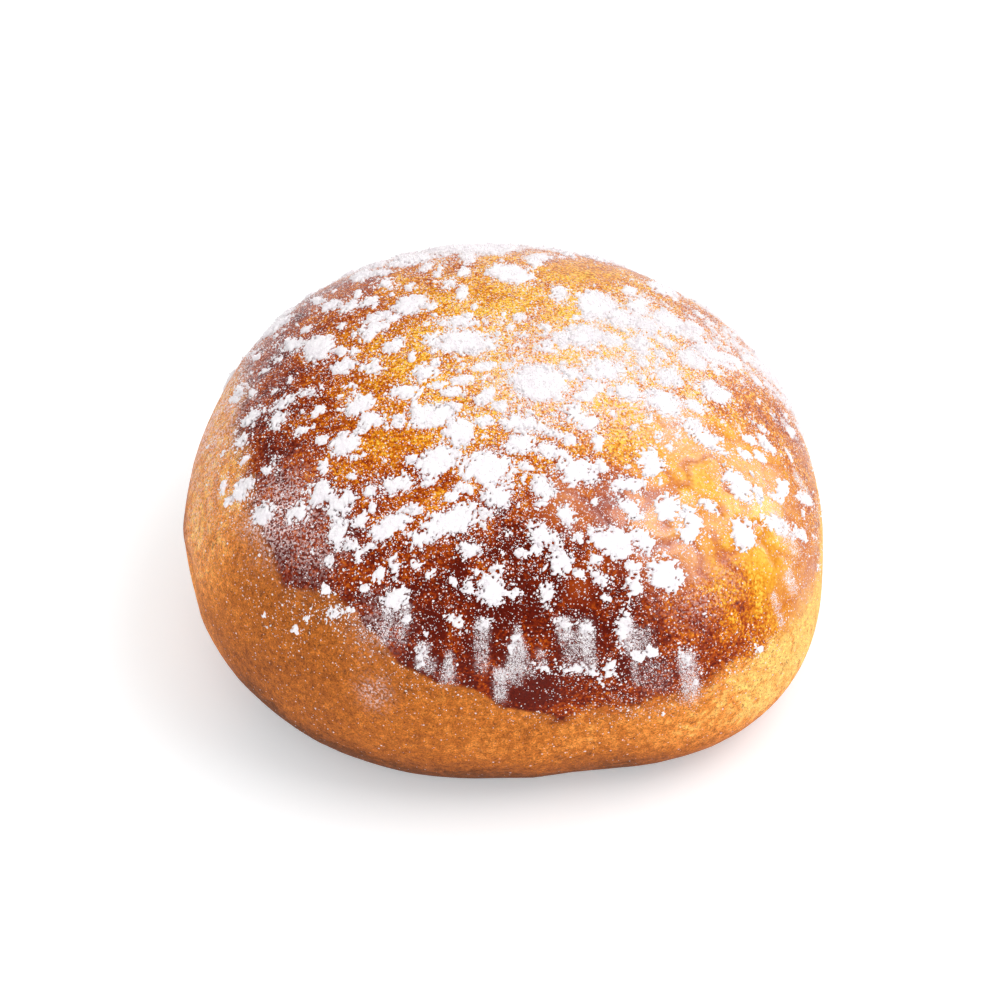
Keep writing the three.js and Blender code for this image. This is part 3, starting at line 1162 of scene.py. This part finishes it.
def dust_group() -> bpy.types.NodeTree:
    """Specks of dust too small to be modelled: in each cell of a Voronoi pattern stands at most one round
    speck, with the cover as the chance that it is there. Two such patterns of different sizes are laid
    over each other.

    Returns:
        A group that takes Place and Cover, and gives Mask, which is 1 on a speck.
    """
    kinds = {"Place": "NodeSocketVector", "Cover": "NodeSocketFloat"}
    graph, start, end = new_group("dusting", kinds, {"Mask": "NodeSocketFloat"})
    place, cover = (start.outputs[label] for label in kinds)
    masks = []
    for size in (0.24, 0.42):  # the patterns' cells, in millimetres
        cells = graph.add("ShaderNodeTexVoronoi", {"Vector": place, "Scale": 1.0 / (size * MM)})
        # Three lots are drawn for each cell: whether its speck is there, how large it is and how dense.
        lot = graph.add("ShaderNodeSeparateColor", {0: cells.outputs["Color"]}).outputs
        there = graph.maths("LESS_THAN", lot[0], cover)
        there = graph.maths("MULTIPLY", there, graph.maths("MULTIPLY_ADD", lot[2], 0.4, 0.6))
        rim = graph.maths("MULTIPLY_ADD", lot[1], 0.25, 0.22)
        inside = graph.ease(graph.maths("SUBTRACT", rim, cells.outputs["Distance"]), 0.0, 0.12)
        masks.append(graph.maths("MULTIPLY", there, inside))
    graph.feed(end, {"Mask": graph.maths("MAXIMUM", *masks)})
    return graph.tree


def start_material(name: str) -> tuple[Material, Graph, Socket, Node]:
    """Starts a material.

    Args:
        name: Its name.

    Returns:
        The material, its graph, the socket of the object's own coordinates, and its Principled BSDF.
    """
    material = bpy.data.materials.new(name)
    material.use_nodes = True
    graph = Graph(material.node_tree)
    place = graph.add("ShaderNodeTexCoord").outputs["Object"]
    return material, graph, place, graph.tree.nodes["Principled BSDF"]


@dataclass(frozen=True)
class CrustFinish:
    """Baked crust: egg glaze that goes from gold to mahogany, over a bare, floury, toasted wall."""

    glaze_browns: tuple[tuple[float, Colour], ...] = (
        # The palest stop also colours the painted highlight right of the crown.
        (0.0, (0.95, 0.55, 0.075)),
        (0.12, (0.80, 0.34, 0.020)),
        (0.27, (0.67, 0.21, 0.008)),
        (0.42, (0.52, 0.112, 0.004)),
        (0.6, (0.35, 0.050, 0.003)),
        (0.8, (0.215, 0.020, 0.002)),
        (1.0, (0.105, 0.007, 0.002)),
    )
    wall_browns: tuple[tuple[float, Colour], ...] = (
        (0.0, (0.98, 0.56, 0.150)),
        (0.25, (0.77, 0.260, 0.046)),
        (0.5, (0.50, 0.142, 0.020)),
        (0.75, (0.34, 0.090, 0.015)),
        (1.0, (0.16, 0.042, 0.007)),
    )
    sugar: Colour = (0.93, 0.87, 0.90)
    # The veil's pinkish colour: fine dust, and painted sheen and reflection where the veil stands for the
    # glaze's shine.
    powder_and_sheen: Colour = (0.97, 0.71, 0.68)
    # The dark brown of painted shade in the wall's holes and slits.
    pore_shade: Colour = (0.16, 0.055, 0.02)
    grain_size: float = 0.32
    grain_contrast: float = 3.8
    mottle_size: float = 4.5
    mottling: float = 0.65  # how far the broad mottling shifts the glaze's brown
    speckle_size: float = 0.45
    speckling: float = 0.75  # and the fine speckles
    flour_size: float = 1.2
    flouring: float = 0.45  # how far the floury blotches shift the wall's brown
    hole_size: float = 0.5
    slit_size: float = 2.4
    pore_shade_strength: float = 0.6
    pore_depth: float = 0.12
    grain_height: float = 0.14  # the wall's graininess
    ripple_height: float = 0.05  # the glaze's faint ripples
    dust_height: float = 0.05
    dot_size: float = 0.4
    glaze_roughness: float = 0.3
    wall_roughness: float = 0.6
    coat_roughness: float = 0.06
    coat_ior: float = 1.5
    ior: float = 1.45
    specular: float = 0.08

    def glaze_colour(self, graph: Graph, place: Socket, shade: Socket, lively: Socket) -> Socket:
        """The egg glaze's colour: its bake, with broad mottling and fine speckles added, picks the brown.

        Args:
            graph: The material's graph.
            place: The object's coordinates.
            shade: The fine grain as a grey.
            lively: How uneven the glaze is, from 1 down to less where it dried smooth.

        Returns:
            The colour.
        """
        bake = graph.attribute("bake")
        stronger_on_brown = graph.maths("MULTIPLY_ADD", bake, 0.8, 0.4)
        mottling = graph.swing(place, self.mottle_size, self.mottling, 5.0, 0.6)
        mottling = graph.maths("MULTIPLY", mottling, stronger_on_brown)
        uneven = graph.maths("ADD", mottling, graph.swing(place, self.speckle_size, self.speckling))
        brown = graph.ramp(graph.maths("MULTIPLY_ADD", uneven, lively, bake), self.glaze_browns)
        return graph.mix(graph.maths("MULTIPLY", lively, 0.8), brown, shade, "MULTIPLY")

    def pores(self, graph: Graph, place: Socket) -> Socket:
        """The bare wall's small holes, and its short slits, which are the lines where a noise has its
        middle value, cut off where a second noise is low.

        Args:
            graph: The material's graph.
            place: The object's coordinates.

        Returns:
            A mask, 1 in a hole or slit.
        """
        from_line = graph.maths("ABSOLUTE", graph.swing(place, self.slit_size, 0.5, 1.0, 0.5))
        parts = graph.ease(graph.noise(place, 1.9, 1.0), 0.6, 0.66)
        slits = graph.maths("MULTIPLY", graph.ease(from_line, 0.03, 0.0), parts)
        holes = graph.ease(graph.noise(place, self.hole_size, 2.0, 0.8), 0.66, 0.74)
        return graph.maths("MAXIMUM", holes, slits)

    def wall_colour(self, graph: Graph, place: Socket, shade: Socket, pores: Socket) -> Socket:
        """The bare wall's colour: its toast, with floury blotches added, picks the brown, and painted shade
        darkens its pores.

        Args:
            graph: The material's graph.
            place: The object's coordinates.
            shade: The fine grain as a grey.
            pores: The mask of pores.

        Returns:
            The colour.
        """
        floury = graph.swing(place, self.flour_size, self.flouring, 5.0)
        toasted = graph.maths("ADD", graph.attribute("toast"), floury)
        brown = graph.ramp(toasted, self.wall_browns)
        pore_shaded = graph.mix(graph.maths("MULTIPLY", pores, self.pore_shade_strength), brown, (*self.pore_shade, 1.0))
        return graph.mix(1.0, pore_shaded, shade, "MULTIPLY")

    def dusted(
        self,
        graph: Graph,
        place: Socket,
        dusting: bpy.types.NodeTree,
        colour: Socket,
        lively: Socket,
        patchy: Socket,
    ) -> tuple[Socket, Socket]:
        """Lays the sugar that is too fine to be modelled over the crust: a pinkish veil, which is fine dust
        and in places painted sheen and reflection, dotted except where the glaze dried smooth and shines;
        the streaks of the smears; and single specks.

        Args:
            graph: The material's graph.
            place: The object's coordinates.
            dusting: The thin dusting's node group.
            colour: The crust's colour.
            lively: How uneven the glaze is.
            patchy: A broad noise about 0, which thins the film in places.

        Returns:
            The dusted colour, and how dusty each place is.
        """
        inputs = {"Place": place, "Cover": graph.attribute("specks")}
        specks = graph.add("ShaderNodeGroup", inputs, node_tree=dusting).outputs["Mask"]
        dots = graph.noise(place, self.dot_size, 1.5)
        film = graph.blend(lively, 0.35, graph.ease(dots, 0.46, 0.6, 0.05, 0.88))
        film = graph.maths("MULTIPLY", film, graph.ease(patchy, -0.16, 0.0, 0.5, 1.2))
        film = graph.maths("MULTIPLY", film, graph.attribute("film"))
        dotted = graph.ease(dots, 0.46, 0.58, 0.13, 1.0)
        streaks = graph.maths("MULTIPLY", graph.attribute("streaks"), dotted)
        colour = graph.mix(film, colour, (*self.powder_and_sheen, 1.0))
        colour = graph.mix(streaks, colour, (*self.sugar, 1.0))
        colour = graph.mix(graph.maths("MULTIPLY", specks, 0.9), colour, (*self.sugar, 1.0))
        return colour, graph.maths("MAXIMUM", graph.maths("MAXIMUM", specks, streaks), film)

    def build(self, grain: bpy.types.NodeTree, dusting: bpy.types.NodeTree) -> Material:
        """Makes the material. It reads the attributes glaze, gloss, bake, toast, specks, film and streaks.

        Args:
            grain: The fine grain's node group.
            dusting: The thin dusting's node group.

        Returns:
            The material.
        """
        material, graph, place, shader = start_material("baked_crust")
        inputs = {"Place": place, "Scale": 1.0 / (self.grain_size * MM), "Contrast": self.grain_contrast}
        fine = graph.add("ShaderNodeGroup", inputs, node_tree=grain).outputs
        shade = graph.add("ShaderNodeCombineColor", dict.fromkeys(range(3), fine["Shade"])).outputs[0]
        ragged = graph.swing(place, 1.6, 0.6, 4.0)
        glazed = graph.ease(graph.maths("ADD", graph.attribute("glaze"), ragged), 0.0, 1.0)
        gloss = graph.attribute("gloss")
        lively = graph.ease(gloss, 0.06, 0.35, 1.0, 0.25)
        patchy = graph.swing(place, self.mottle_size, 0.8, 2.0, 0.5)
        pores = self.pores(graph, place)
        wall = self.wall_colour(graph, place, shade, pores)
        bare = graph.mix(glazed, wall, self.glaze_colour(graph, place, shade, lively))
        colour, dusty = self.dusted(graph, place, dusting, bare, lively, patchy)

        satin = graph.blend(glazed, self.wall_roughness, self.glaze_roughness)
        satin = graph.maths("ADD", satin, graph.swing(place, 3.0, 0.08, 3.0))
        rough = graph.maths("MAXIMUM", satin, graph.maths("MULTIPLY", dusty, 0.85))
        waxed = graph.ease(graph.maths("ADD", gloss, patchy), 0.34, 0.44, 0.25, 1.0)
        clean = graph.maths("MULTIPLY_ADD", dusty, -0.8, 1.0)
        clean_glaze = graph.maths("MULTIPLY", glazed, clean)
        polish = graph.maths("MULTIPLY", clean_glaze, graph.maths("MULTIPLY", gloss, waxed))

        grainy = graph.maths("MULTIPLY", fine["Height"], self.grain_height)
        wall_height = graph.maths("MULTIPLY_ADD", pores, -self.pore_depth, grainy)
        glaze_height = graph.maths("MULTIPLY", graph.noise(place, 1.2, 3.0, 0.4), self.ripple_height)
        height = graph.blend(glazed, wall_height, glaze_height)
        normal = graph.bump(graph.maths("MULTIPLY_ADD", dusty, self.dust_height, height))
        graph.feed(
            shader, {"Base Color": colour, "Roughness": rough, "Coat Weight": polish, "Normal": normal}
        )
        graph.feed(shader, {"Coat Roughness": self.coat_roughness, "Coat IOR": self.coat_ior})
        graph.feed(shader, {"IOR": self.ior, "Specular IOR Level": self.specular})
        return material


@dataclass(frozen=True)
class SugarFinish:
    """Icing sugar: a dry, matt powder that is white with faintly shaded hollows."""

    name: str
    white: Colour
    shaded: Colour
    roughness: float = 0.9
    grain_size: float = 0.5
    grain_depth: float = 0.32
    cloud_size: float = 1.6

    def build(self, grain: bpy.types.NodeTree) -> Material:
        """Makes the material, with the same fine grain as the crust in its colour, roughness and bump.

        Args:
            grain: The fine grain's node group.

        Returns:
            The material.
        """
        material, graph, place, shader = start_material(self.name)
        inputs = {"Place": place, "Scale": 1.0 / (self.grain_size * MM), "Contrast": 1.0}
        height = graph.add("ShaderNodeGroup", inputs, node_tree=grain).outputs["Height"]
        cloudy = graph.blend(0.6, graph.noise(place, self.cloud_size, 3.0), height)
        colour = graph.mix(graph.ease(cloudy, 0.4, 0.58), (*self.shaded, 1.0), (*self.white, 1.0))
        rough = graph.maths("MULTIPLY_ADD", height, -0.1, self.roughness + 0.05)
        normal = graph.bump(graph.maths("MULTIPLY", height, self.grain_depth))
        graph.feed(shader, {"Base Color": colour, "Roughness": rough, "Normal": normal})
        return material


@dataclass(frozen=True)
class FloorFinish:
    """A plain pale floor, faintly cloudy. A little of its brightness is its own and cool, which evens out
    the warm light that the pastry throws on it.
    """

    greys: tuple[float, float] = (0.9, 0.92)
    cloud_size: float = 400.0
    roughness: float = 0.9
    specular: float = 0.1
    glow: Colour = (0.82, 0.94, 1.0)
    glow_strength: float = 0.3

    def build(self) -> Material:
        """Makes the material.

        Returns:
            The material.
        """
        material, graph, place, shader = start_material("floor")
        cloudy = graph.ease(graph.noise(place, self.cloud_size), 0.3, 0.7)
        darker, lighter = ((grey, grey, grey, 1.0) for grey in self.greys)
        colour = graph.mix(cloudy, darker, lighter)
        graph.feed(shader, {"Base Color": colour, "Roughness": self.roughness})
        graph.feed(shader, {"Specular IOR Level": self.specular})
        graph.feed(shader, {"Emission Color": (*self.glow, 1.0), "Emission Strength": self.glow_strength})
        return material


# ------------------------------------------------------------------------------------ sub-assemblies


@dataclass
class Crust:
    """The pastry's baked outside, from the crown down to the flat base."""

    skin: Skin
    sifting: Sifting
    bearings: int = 520
    rows: int = 168
    base_rows: int = 16
    base_start: float = 96.0  # arc from the crown to the flat base's edge
    powder_and_sheen_spots: tuple[Spot, ...] = (
        Spot(-50, 4, 10, 1), Spot(-43, 20, 9, 0.6), Spot(-24, 33, 10, 0.6), Spot(2, 40, 12, 0.5),
        Spot(16, 20, 12, 0.2), Spot(33, 10, 7, 0.35), Spot(50, 1, 5, 0.1), Spot(-52, -13, 9, 0.35),
        Spot(-34, -23, 5.5, 0.9), Spot(-29, -30, 4.5, 0.5), Spot(-22, -45, 4, 0.3),
        Spot(-26, -55.5, 2.8, 0.7), Spot(20, -28, 5, 0.4), Spot(30, -31, 5.5, 0.35),
        Spot(28, -37, 4.5, 0.25), Spot(25, -12, 4.5, 0.6), Spot(18, -11, 6, 0.5), Spot(10, -28.5, 3.5, 0.35),
        Spot(10, -5, 9, 0.9), Spot(4, -7, 3, 0.5),
    )  # where a pinkish veil lies: the finest dust, and painted sheen and reflection along the rim at the left and the top, over the veil right of the crown and on the salmon patches at the front right
    flour: float = 0.03  # the chance of a speck of flour on the bare wall
    floury: tuple[float, float] = (92.0, 60.0)  # arcs between which it sets in, from the base upwards
    least_sifted: float = 0.1  # the chance of a speck of sugar wherever some was sifted
    fully_sifted: float = 0.5  # and how much it rises with the spread
    specks_in_halos: float = 0.12
    specks_in_smears: float = 0.15
    film_share: float = 0.6  # how fast a film builds up with the spread
    film_start: float = 0.12  # less than this stays out of sight
    halo_shade: float = 0.1  # painted shade: how much darker the glaze is drawn round the heaps, as if they shadowed it
    crease_shade: float = 0.3  # and how much painted shade darkens it in its creases

    def build(self, finish: Material) -> bpy.types.Object:
        """Makes the crust as a grid of bearings by arcs, closed by one point at the crown and one under the
        base.

        Args:
            finish: The crust's material.

        Returns:
            The crust's object.
        """
        dome = self.skin.dome
        sides = np.linspace(0.0, self.base_start, self.rows + 1)[1:]
        base = np.linspace(self.base_start, dome.arcs[-1], self.base_rows + 1)[1:-1]
        round_it = np.linspace(0.0, FULL_TURN, self.bearings, endpoint=False)
        arc, bearing = np.meshgrid(np.concatenate([sides, base]), round_it, indexing="ij")
        x = np.concatenate([[0.0], (arc * np.cos(bearing)).ravel(), [dome.arcs[-1]]])
        y = np.concatenate([[0.0], (arc * np.sin(bearing)).ravel(), [0.0]])
        points = self.skin.at(x, y)
        points[-1] = (0.0, 0.0, dome.low[2])
        faces = self.faces(arc.shape[0])
        piece = new_piece("crust", points, faces, smooth=True, values=self.attributes(x, y))
        piece.data.materials.append(finish)
        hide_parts("pastry")
        return piece

    def faces(self, rows: int) -> Array:
        """The triangles between neighbouring rows, and the two fans at the poles.

        Args:
            rows: How many rows of vertices lie between the poles.

        Returns:
            One row of three vertex numbers for each triangle.
        """
        number = 1 + np.arange(rows * self.bearings).reshape(rows, self.bearings)
        beside = np.roll(number, -1, axis=1)
        cells = quad_triangles(number[:-1], number[1:], beside[1:], beside[:-1])
        crown = np.stack([np.zeros(self.bearings, int), number[0], beside[0]], axis=-1)
        last = rows * self.bearings + 1
        under = np.stack([np.full(self.bearings, last), beside[-1], number[-1]], axis=-1)
        return np.concatenate([cells, crown, under])

    def attributes(self, x: Array, y: Array) -> dict[str, Array]:
        """The numbers that the finish reads at each vertex.

        Args:
            x: The vertices' places on the plan.
            y: The vertices' places on the plan.

        Returns:
            glaze, the depth inside the glaze's edge over its softness, and gloss, bake, toast, specks, film
            and streaks, which go from 0 to 1. Bake holds painted shade and highlight besides the browning,
            toast painted shade besides the toasting, and film painted sheen and reflection besides the dust.
        """
        bake, sifting, plain = self.skin.bake, self.sifting, self.skin.dome.at(x, y)
        fields = (sifting.halo, sifting.spread, sifting.smeared, sifting.patchy)
        halo, spread, smeared, patchy = (sifting.field_at(values, x, y) for values in fields)
        softness = round_the_crown(np.arctan2(y, x), bake.edge_softness)
        creased = self.skin.wrinkling(x, y) * self.skin.creases(plain)
        specks = self.flour * smooth_step(*self.floury, np.hypot(x, y)) + self.specks_in_halos * halo
        sifted = self.least_sifted * smooth_step(0.0, 0.08, spread) + self.fully_sifted * spread
        specks = specks + sifted * patchy + self.specks_in_smears * smeared
        # The glaze's bake also takes painted shade round the heaps and in its creases.
        brown = bake.glazed_brown(x, y, plain) + self.halo_shade * halo + self.crease_shade * creased
        # A veil laid in spots: fine dust, and painted sheen and reflection on the glaze.
        powder_and_sheen_spots = sum(spot.share(x, y) for spot in self.powder_and_sheen_spots)
        film = np.clip(self.film_share * spread - self.film_start, 0.0, 1.0) + powder_and_sheen_spots
        return {
            "glaze": np.clip(bake.glaze_depth(x, y, plain) / softness, -3.0, 4.0),
            "gloss": bake.shine(x, y),
            "bake": np.clip(brown, 0.0, 1.0),
            "toast": bake.wall_brown(x, y, plain, plain[..., 2] / self.skin.dome.height),
            "specks": np.clip(specks, 0.0, 1.0),
            "film": np.clip(film, 0.0, 1.0),
            "streaks": smeared,
        }


@dataclass
class SugarDrifts:
    """Clumps of icing sugar: thin, closed, puffy patches that follow the skin."""

    skin: Skin
    sifting: Sifting
    name: str
    lie: Array
    sunk: float = 0.12

    def build(self, finish: Material) -> bpy.types.Object:
        """Makes a top and an underside over every grid cell that a drift touches. Both share their rim of
        vertices, which lies just under the skin, so that each patch is closed.

        Args:
            finish: The sugar's material.

        Returns:
            The drifts' object.
        """
        sifting, lie = self.sifting, self.lie
        covered = lie > 0
        cells = covered[:-1, :-1] | covered[1:, :-1] | covered[:-1, 1:] | covered[1:, 1:]
        used = np.zeros_like(covered)
        for row, column in itertools.product((0, 1), repeat=2):
            rows, columns = cells.shape
            used[row : row + rows, column : column + columns] |= cells
        top_number = np.full(lie.shape, -1)
        top_number[used] = np.arange(used.sum())
        under_number = top_number.copy()
        under_number[covered] = used.sum() + np.arange(covered.sum())
        lift = np.where(covered, lie, -self.sunk)[used]
        top = self.skin.at(sifting.x[used], sifting.y[used], lift)
        under = self.skin.at(sifting.x[covered], sifting.y[covered], -self.sunk)
        corners = [(slice(None, -1), slice(None, -1)), (slice(None, -1), slice(1, None))]
        corners += [(slice(1, None), slice(1, None)), (slice(1, None), slice(None, -1))]
        upper = quad_triangles(*(top_number[corner][cells] for corner in corners))
        lower = quad_triangles(*(under_number[corner][cells] for corner in reversed(corners)))
        points, faces = np.concatenate([top, under]), np.concatenate([upper, lower])
        piece = new_piece(self.name, points, faces, smooth=True)
        piece.data.materials.append(finish)
        return piece


@dataclass
class SugarGrains:
    """Loose sugar of one size, scattered over the skin and the drifts."""

    skin: Skin
    sifting: Sifting
    name: str
    solid: Solid
    count: int
    radii: tuple[float, float]  # the smallest and the largest
    everywhere: float = 1.0  # how much of it falls on the skin as a whole
    near_heaps: float = 0.0  # how much more falls round the heaps than elsewhere
    halo_width: float = 1.0  # how far that reaches, in millimetres
    in_smears: float = 0.0  # how much more lies in the smears
    kept_on_heaps: float = 0.3  # how much of it shows on top of the heaps, which swallow the rest
    lift: float = 0.3  # how far a grain's middle is over the surface, as a share of its size
    size_shape: tuple[float, float] = (1.3, 2.2)  # a beta distribution: small grains are commoner

    def build(self, finish: Material) -> bpy.types.Object:
        """Draws the grains' places from the sugar's fields, and joins one small solid for each into a mesh.

        Args:
            finish: The sugar's material.

        Returns:
            The grains' object.
        """
        sifting, rng = self.sifting, self.sifting.rng
        kept = np.where(sifting.heaped > 0, self.kept_on_heaps, 1.0)
        halo = sifting.halo ** (1.0 / self.halo_width) * kept
        weight = sifting.spread * self.everywhere * (1.0 + self.near_heaps * halo) * sifting.patchy
        weight = weight + self.in_smears * sifting.smeared * sifting.patchy
        x, y, cell = sifting.pick_places(weight, self.count)
        smallest, largest = self.radii
        size = smallest * (largest / smallest) ** rng.beta(*self.size_shape, self.count)
        middles = self.skin.at(x, y, sifting.lie.ravel()[cell] + self.lift * size)
        corners, faces = self.solid.shape()
        points, triangles = scattered(corners, faces, middles, size, rng)
        piece = new_piece(self.name, points, triangles, smooth=False)
        piece.data.materials.append(finish)
        return piece


@dataclass(frozen=True)
class Softbox:
    """A rectangular light: its direction in degrees, its size in millimetres, its brightness, where 1 looks
    just white, and whether it is there for the gloss alone or for everything else.
    """

    name: str
    azimuth: float
    elevation: float
    size: tuple[float, float]
    glow: float
    mirrored: bool


@dataclass
class Studio:
    """The camera, the pale floor and the soft light."""

    low: Array
    high: Array
    aim: tuple[float, float, float] = (-0.7, -1.2, 23.0)
    camera_elevation: float = 44.0
    camera_distance: float = 600.0
    lens: float = 142.0
    light_distance: float = 900.0
    floor_width: float = 8000.0
    floor_gap: float = 0.1  # how far the floor is under the base
    room_light: float = 0.72  # how bright the room is for the light that it gives
    room_mirrored: tuple[float, float] = (0.1, 0.6)  # and where it is mirrored, in front and at the back
    softboxes: tuple[Softbox, ...] = (
        Softbox("key", 84.0, 56.0, (600.0, 600.0), 3.0, mirrored=False),
        Softbox("fill", 0.0, 18.0, (1000.0, 400.0), 1.1, mirrored=False),
        Softbox("back", 180.0, 64.0, (900.0, 600.0), 0.5, mirrored=False),
        Softbox("sheen", 126.0, 16.0, (840.0, 640.0), 3.0, mirrored=True),
        Softbox("glint", 80.0, 48.0, (560.0, 800.0), 5.0, mirrored=True),
    )

    def direction(self, azimuth: float, elevation: float) -> Vector:
        """The unit vector towards an azimuth, 0 at the front and 90 on the right, and an elevation."""
        turn, rise = math.radians(azimuth), math.radians(elevation)
        return Vector((math.sin(turn) * math.cos(rise), -math.cos(turn) * math.cos(rise), math.sin(rise)))

    def place(self, thing: bpy.types.Object, azimuth: float, elevation: float, distance: float) -> None:
        """Puts a camera or light at a distance in a direction, looking at the aim.

        Args:
            thing: The camera's or light's object.
            azimuth: Its azimuth in degrees.
            elevation: Its elevation in degrees.
            distance: Its distance from the aim in millimetres.

        Returns:
            Nothing.
        """
        away = self.direction(azimuth, elevation)
        thing.location = (Vector(self.aim) + away * distance) * MM
        thing.rotation_euler = (-away).to_track_quat("-Z", "Y").to_euler()
        bpy.context.scene.collection.objects.link(thing)

    def add_camera(self) -> None:
        """Makes the camera and gives it to the scene.

        Returns:
            Nothing.
        """
        data = bpy.data.cameras.new("camera")
        data.lens = self.lens
        data.clip_start = 0.01
        data.clip_end = 20.0
        camera = bpy.data.objects.new("camera", data)
        self.place(camera, 0.0, self.camera_elevation, self.camera_distance)
        bpy.context.scene.camera = camera

    def add_softbox(self, box: Softbox) -> None:
        """Makes a softbox's light.

        Args:
            box: The softbox.

        Returns:
            Nothing.
        """
        data = bpy.data.lights.new(box.name, "AREA")
        data.shape = "RECTANGLE"
        data.size, data.size_y = box.size[0] * MM, box.size[1] * MM
        data.energy = box.glow * math.pi * data.size * data.size_y
        light = bpy.data.objects.new(box.name, data)
        light.visible_camera = False
        light.visible_glossy = box.mirrored
        light.visible_diffuse = not box.mirrored
        self.place(light, box.azimuth, box.elevation, self.light_distance)

    def add_floor(self) -> None:
        """Makes the plain floor.

        Returns:
            Nothing.
        """
        mesh = bpy.data.meshes.new("floor")
        side = self.floor_width / 2.0 * MM
        level = (float(self.low[2]) - self.floor_gap) * MM
        corners = [(-side, -side, level), (side, -side, level), (side, side, level), (-side, side, level)]
        mesh.from_pydata(corners, [], [(0, 1, 2, 3)])
        floor = bpy.data.objects.new("floor", mesh)
        bpy.context.scene.collection.objects.link(floor)
        mesh.materials.append(FloorFinish().build())

    def add_surroundings(self) -> None:
        """Makes the white room: even for the light it gives, darker towards the front where the glaze
        mirrors it.

        Returns:
            Nothing.
        """
        world = bpy.data.worlds.new("room")
        world.use_nodes = True
        bpy.context.scene.world = world
        graph = Graph(world.node_tree)
        rays = graph.add("ShaderNodeLightPath").outputs
        way = graph.add("ShaderNodeTexCoord").outputs["Generated"]
        way = graph.add("ShaderNodeSeparateXYZ", {0: way}).outputs
        back_right = graph.maths("MULTIPLY_ADD", way["X"], 0.6, way["Y"])
        mirrored = graph.ease(back_right, 0.25, 1.0, *self.room_mirrored)
        given = graph.blend(rays["Is Glossy Ray"], self.room_light, mirrored)
        seen = graph.blend(rays["Is Camera Ray"], given, 1.0)
        graph.feed(graph.tree.nodes["Background"], {"Color": (1.0, 1.0, 1.0, 1.0), "Strength": seen})

    def build(self) -> None:
        """Makes everything round the pastry, and shows colours as they are.

        Returns:
            Nothing.
        """
        self.add_camera()
        self.add_floor()
        self.add_surroundings()
        for box in self.softboxes:
            self.add_softbox(box)
        bpy.context.scene.view_settings.view_transform = "Standard"


def corners_of(box: tuple[Vector, Vector]) -> tuple[Array, Array]:
    """A box's two corners in millimetres, as arrays."""
    return np.array(box[0]) / MM, np.array(box[1]) / MM


def main() -> None:
    """Builds the pastry's looks round its frame, and logs how many triangles each piece has.

    Returns:
        Nothing.
    """
    logging.basicConfig(level=logging.INFO, format="%(name)s: %(message)s")
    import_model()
    low, high = corners_of(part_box("pastry"))

    dome = Dome(low, high)
    bake = Bake(Noise(11))
    skin = Skin(dome, bake, Noise(23))
    sifting = Sifting(dome, bake, Noise(37))

    grain, dusting = grain_group(), dust_group()
    crust_finish = CrustFinish().build(grain, dusting)
    packed = SugarFinish("icing_sugar", white=(1.0, 0.965, 0.98), shaded=(0.91, 0.855, 0.89))
    packed = packed.build(grain)
    loose = SugarFinish("loose_sugar", white=(1.0, 0.965, 0.975), shaded=(0.96, 0.91, 0.935))
    loose = loose.build(grain)
    scatter = partial(SugarGrains, skin, sifting)
    crumbs = scatter(
        "sugar_crumbs", Solid.OCTAHEDRON, 17000, (0.11, 0.3), near_heaps=60.0, halo_width=0.45, in_smears=0.1
    )
    grains = scatter(
        "sugar_grains", Solid.OCTAHEDRON, 24500, (0.07, 0.17), near_heaps=24.0, halo_width=0.8, in_smears=0.1
    )
    dust = scatter("sugar_dust", Solid.TETRAHEDRON, 49000, (0.055, 0.14), near_heaps=6.0, halo_width=2.5)
    streaks = scatter("sugar_streaks", Solid.TETRAHEDRON, 8000, (0.06, 0.14), everywhere=0.0, in_smears=1.0)
    parts = [
        (Crust(skin, sifting), crust_finish),
        (SugarDrifts(skin, sifting, "sugar_heaps", sifting.heaped), packed),
        (SugarDrifts(skin, sifting, "sugar_lumps", sifting.lumped), packed),
        (crumbs, loose),
        (grains, loose),
        (dust, loose),
        (streaks, loose),
    ]
    for part, finish in parts:
        piece = part.build(finish)
        LOG.info("%s: %d triangles", piece.name, len(piece.data.polygons))
    Studio(low, high).build()


if __name__ == "__main__":
    main()
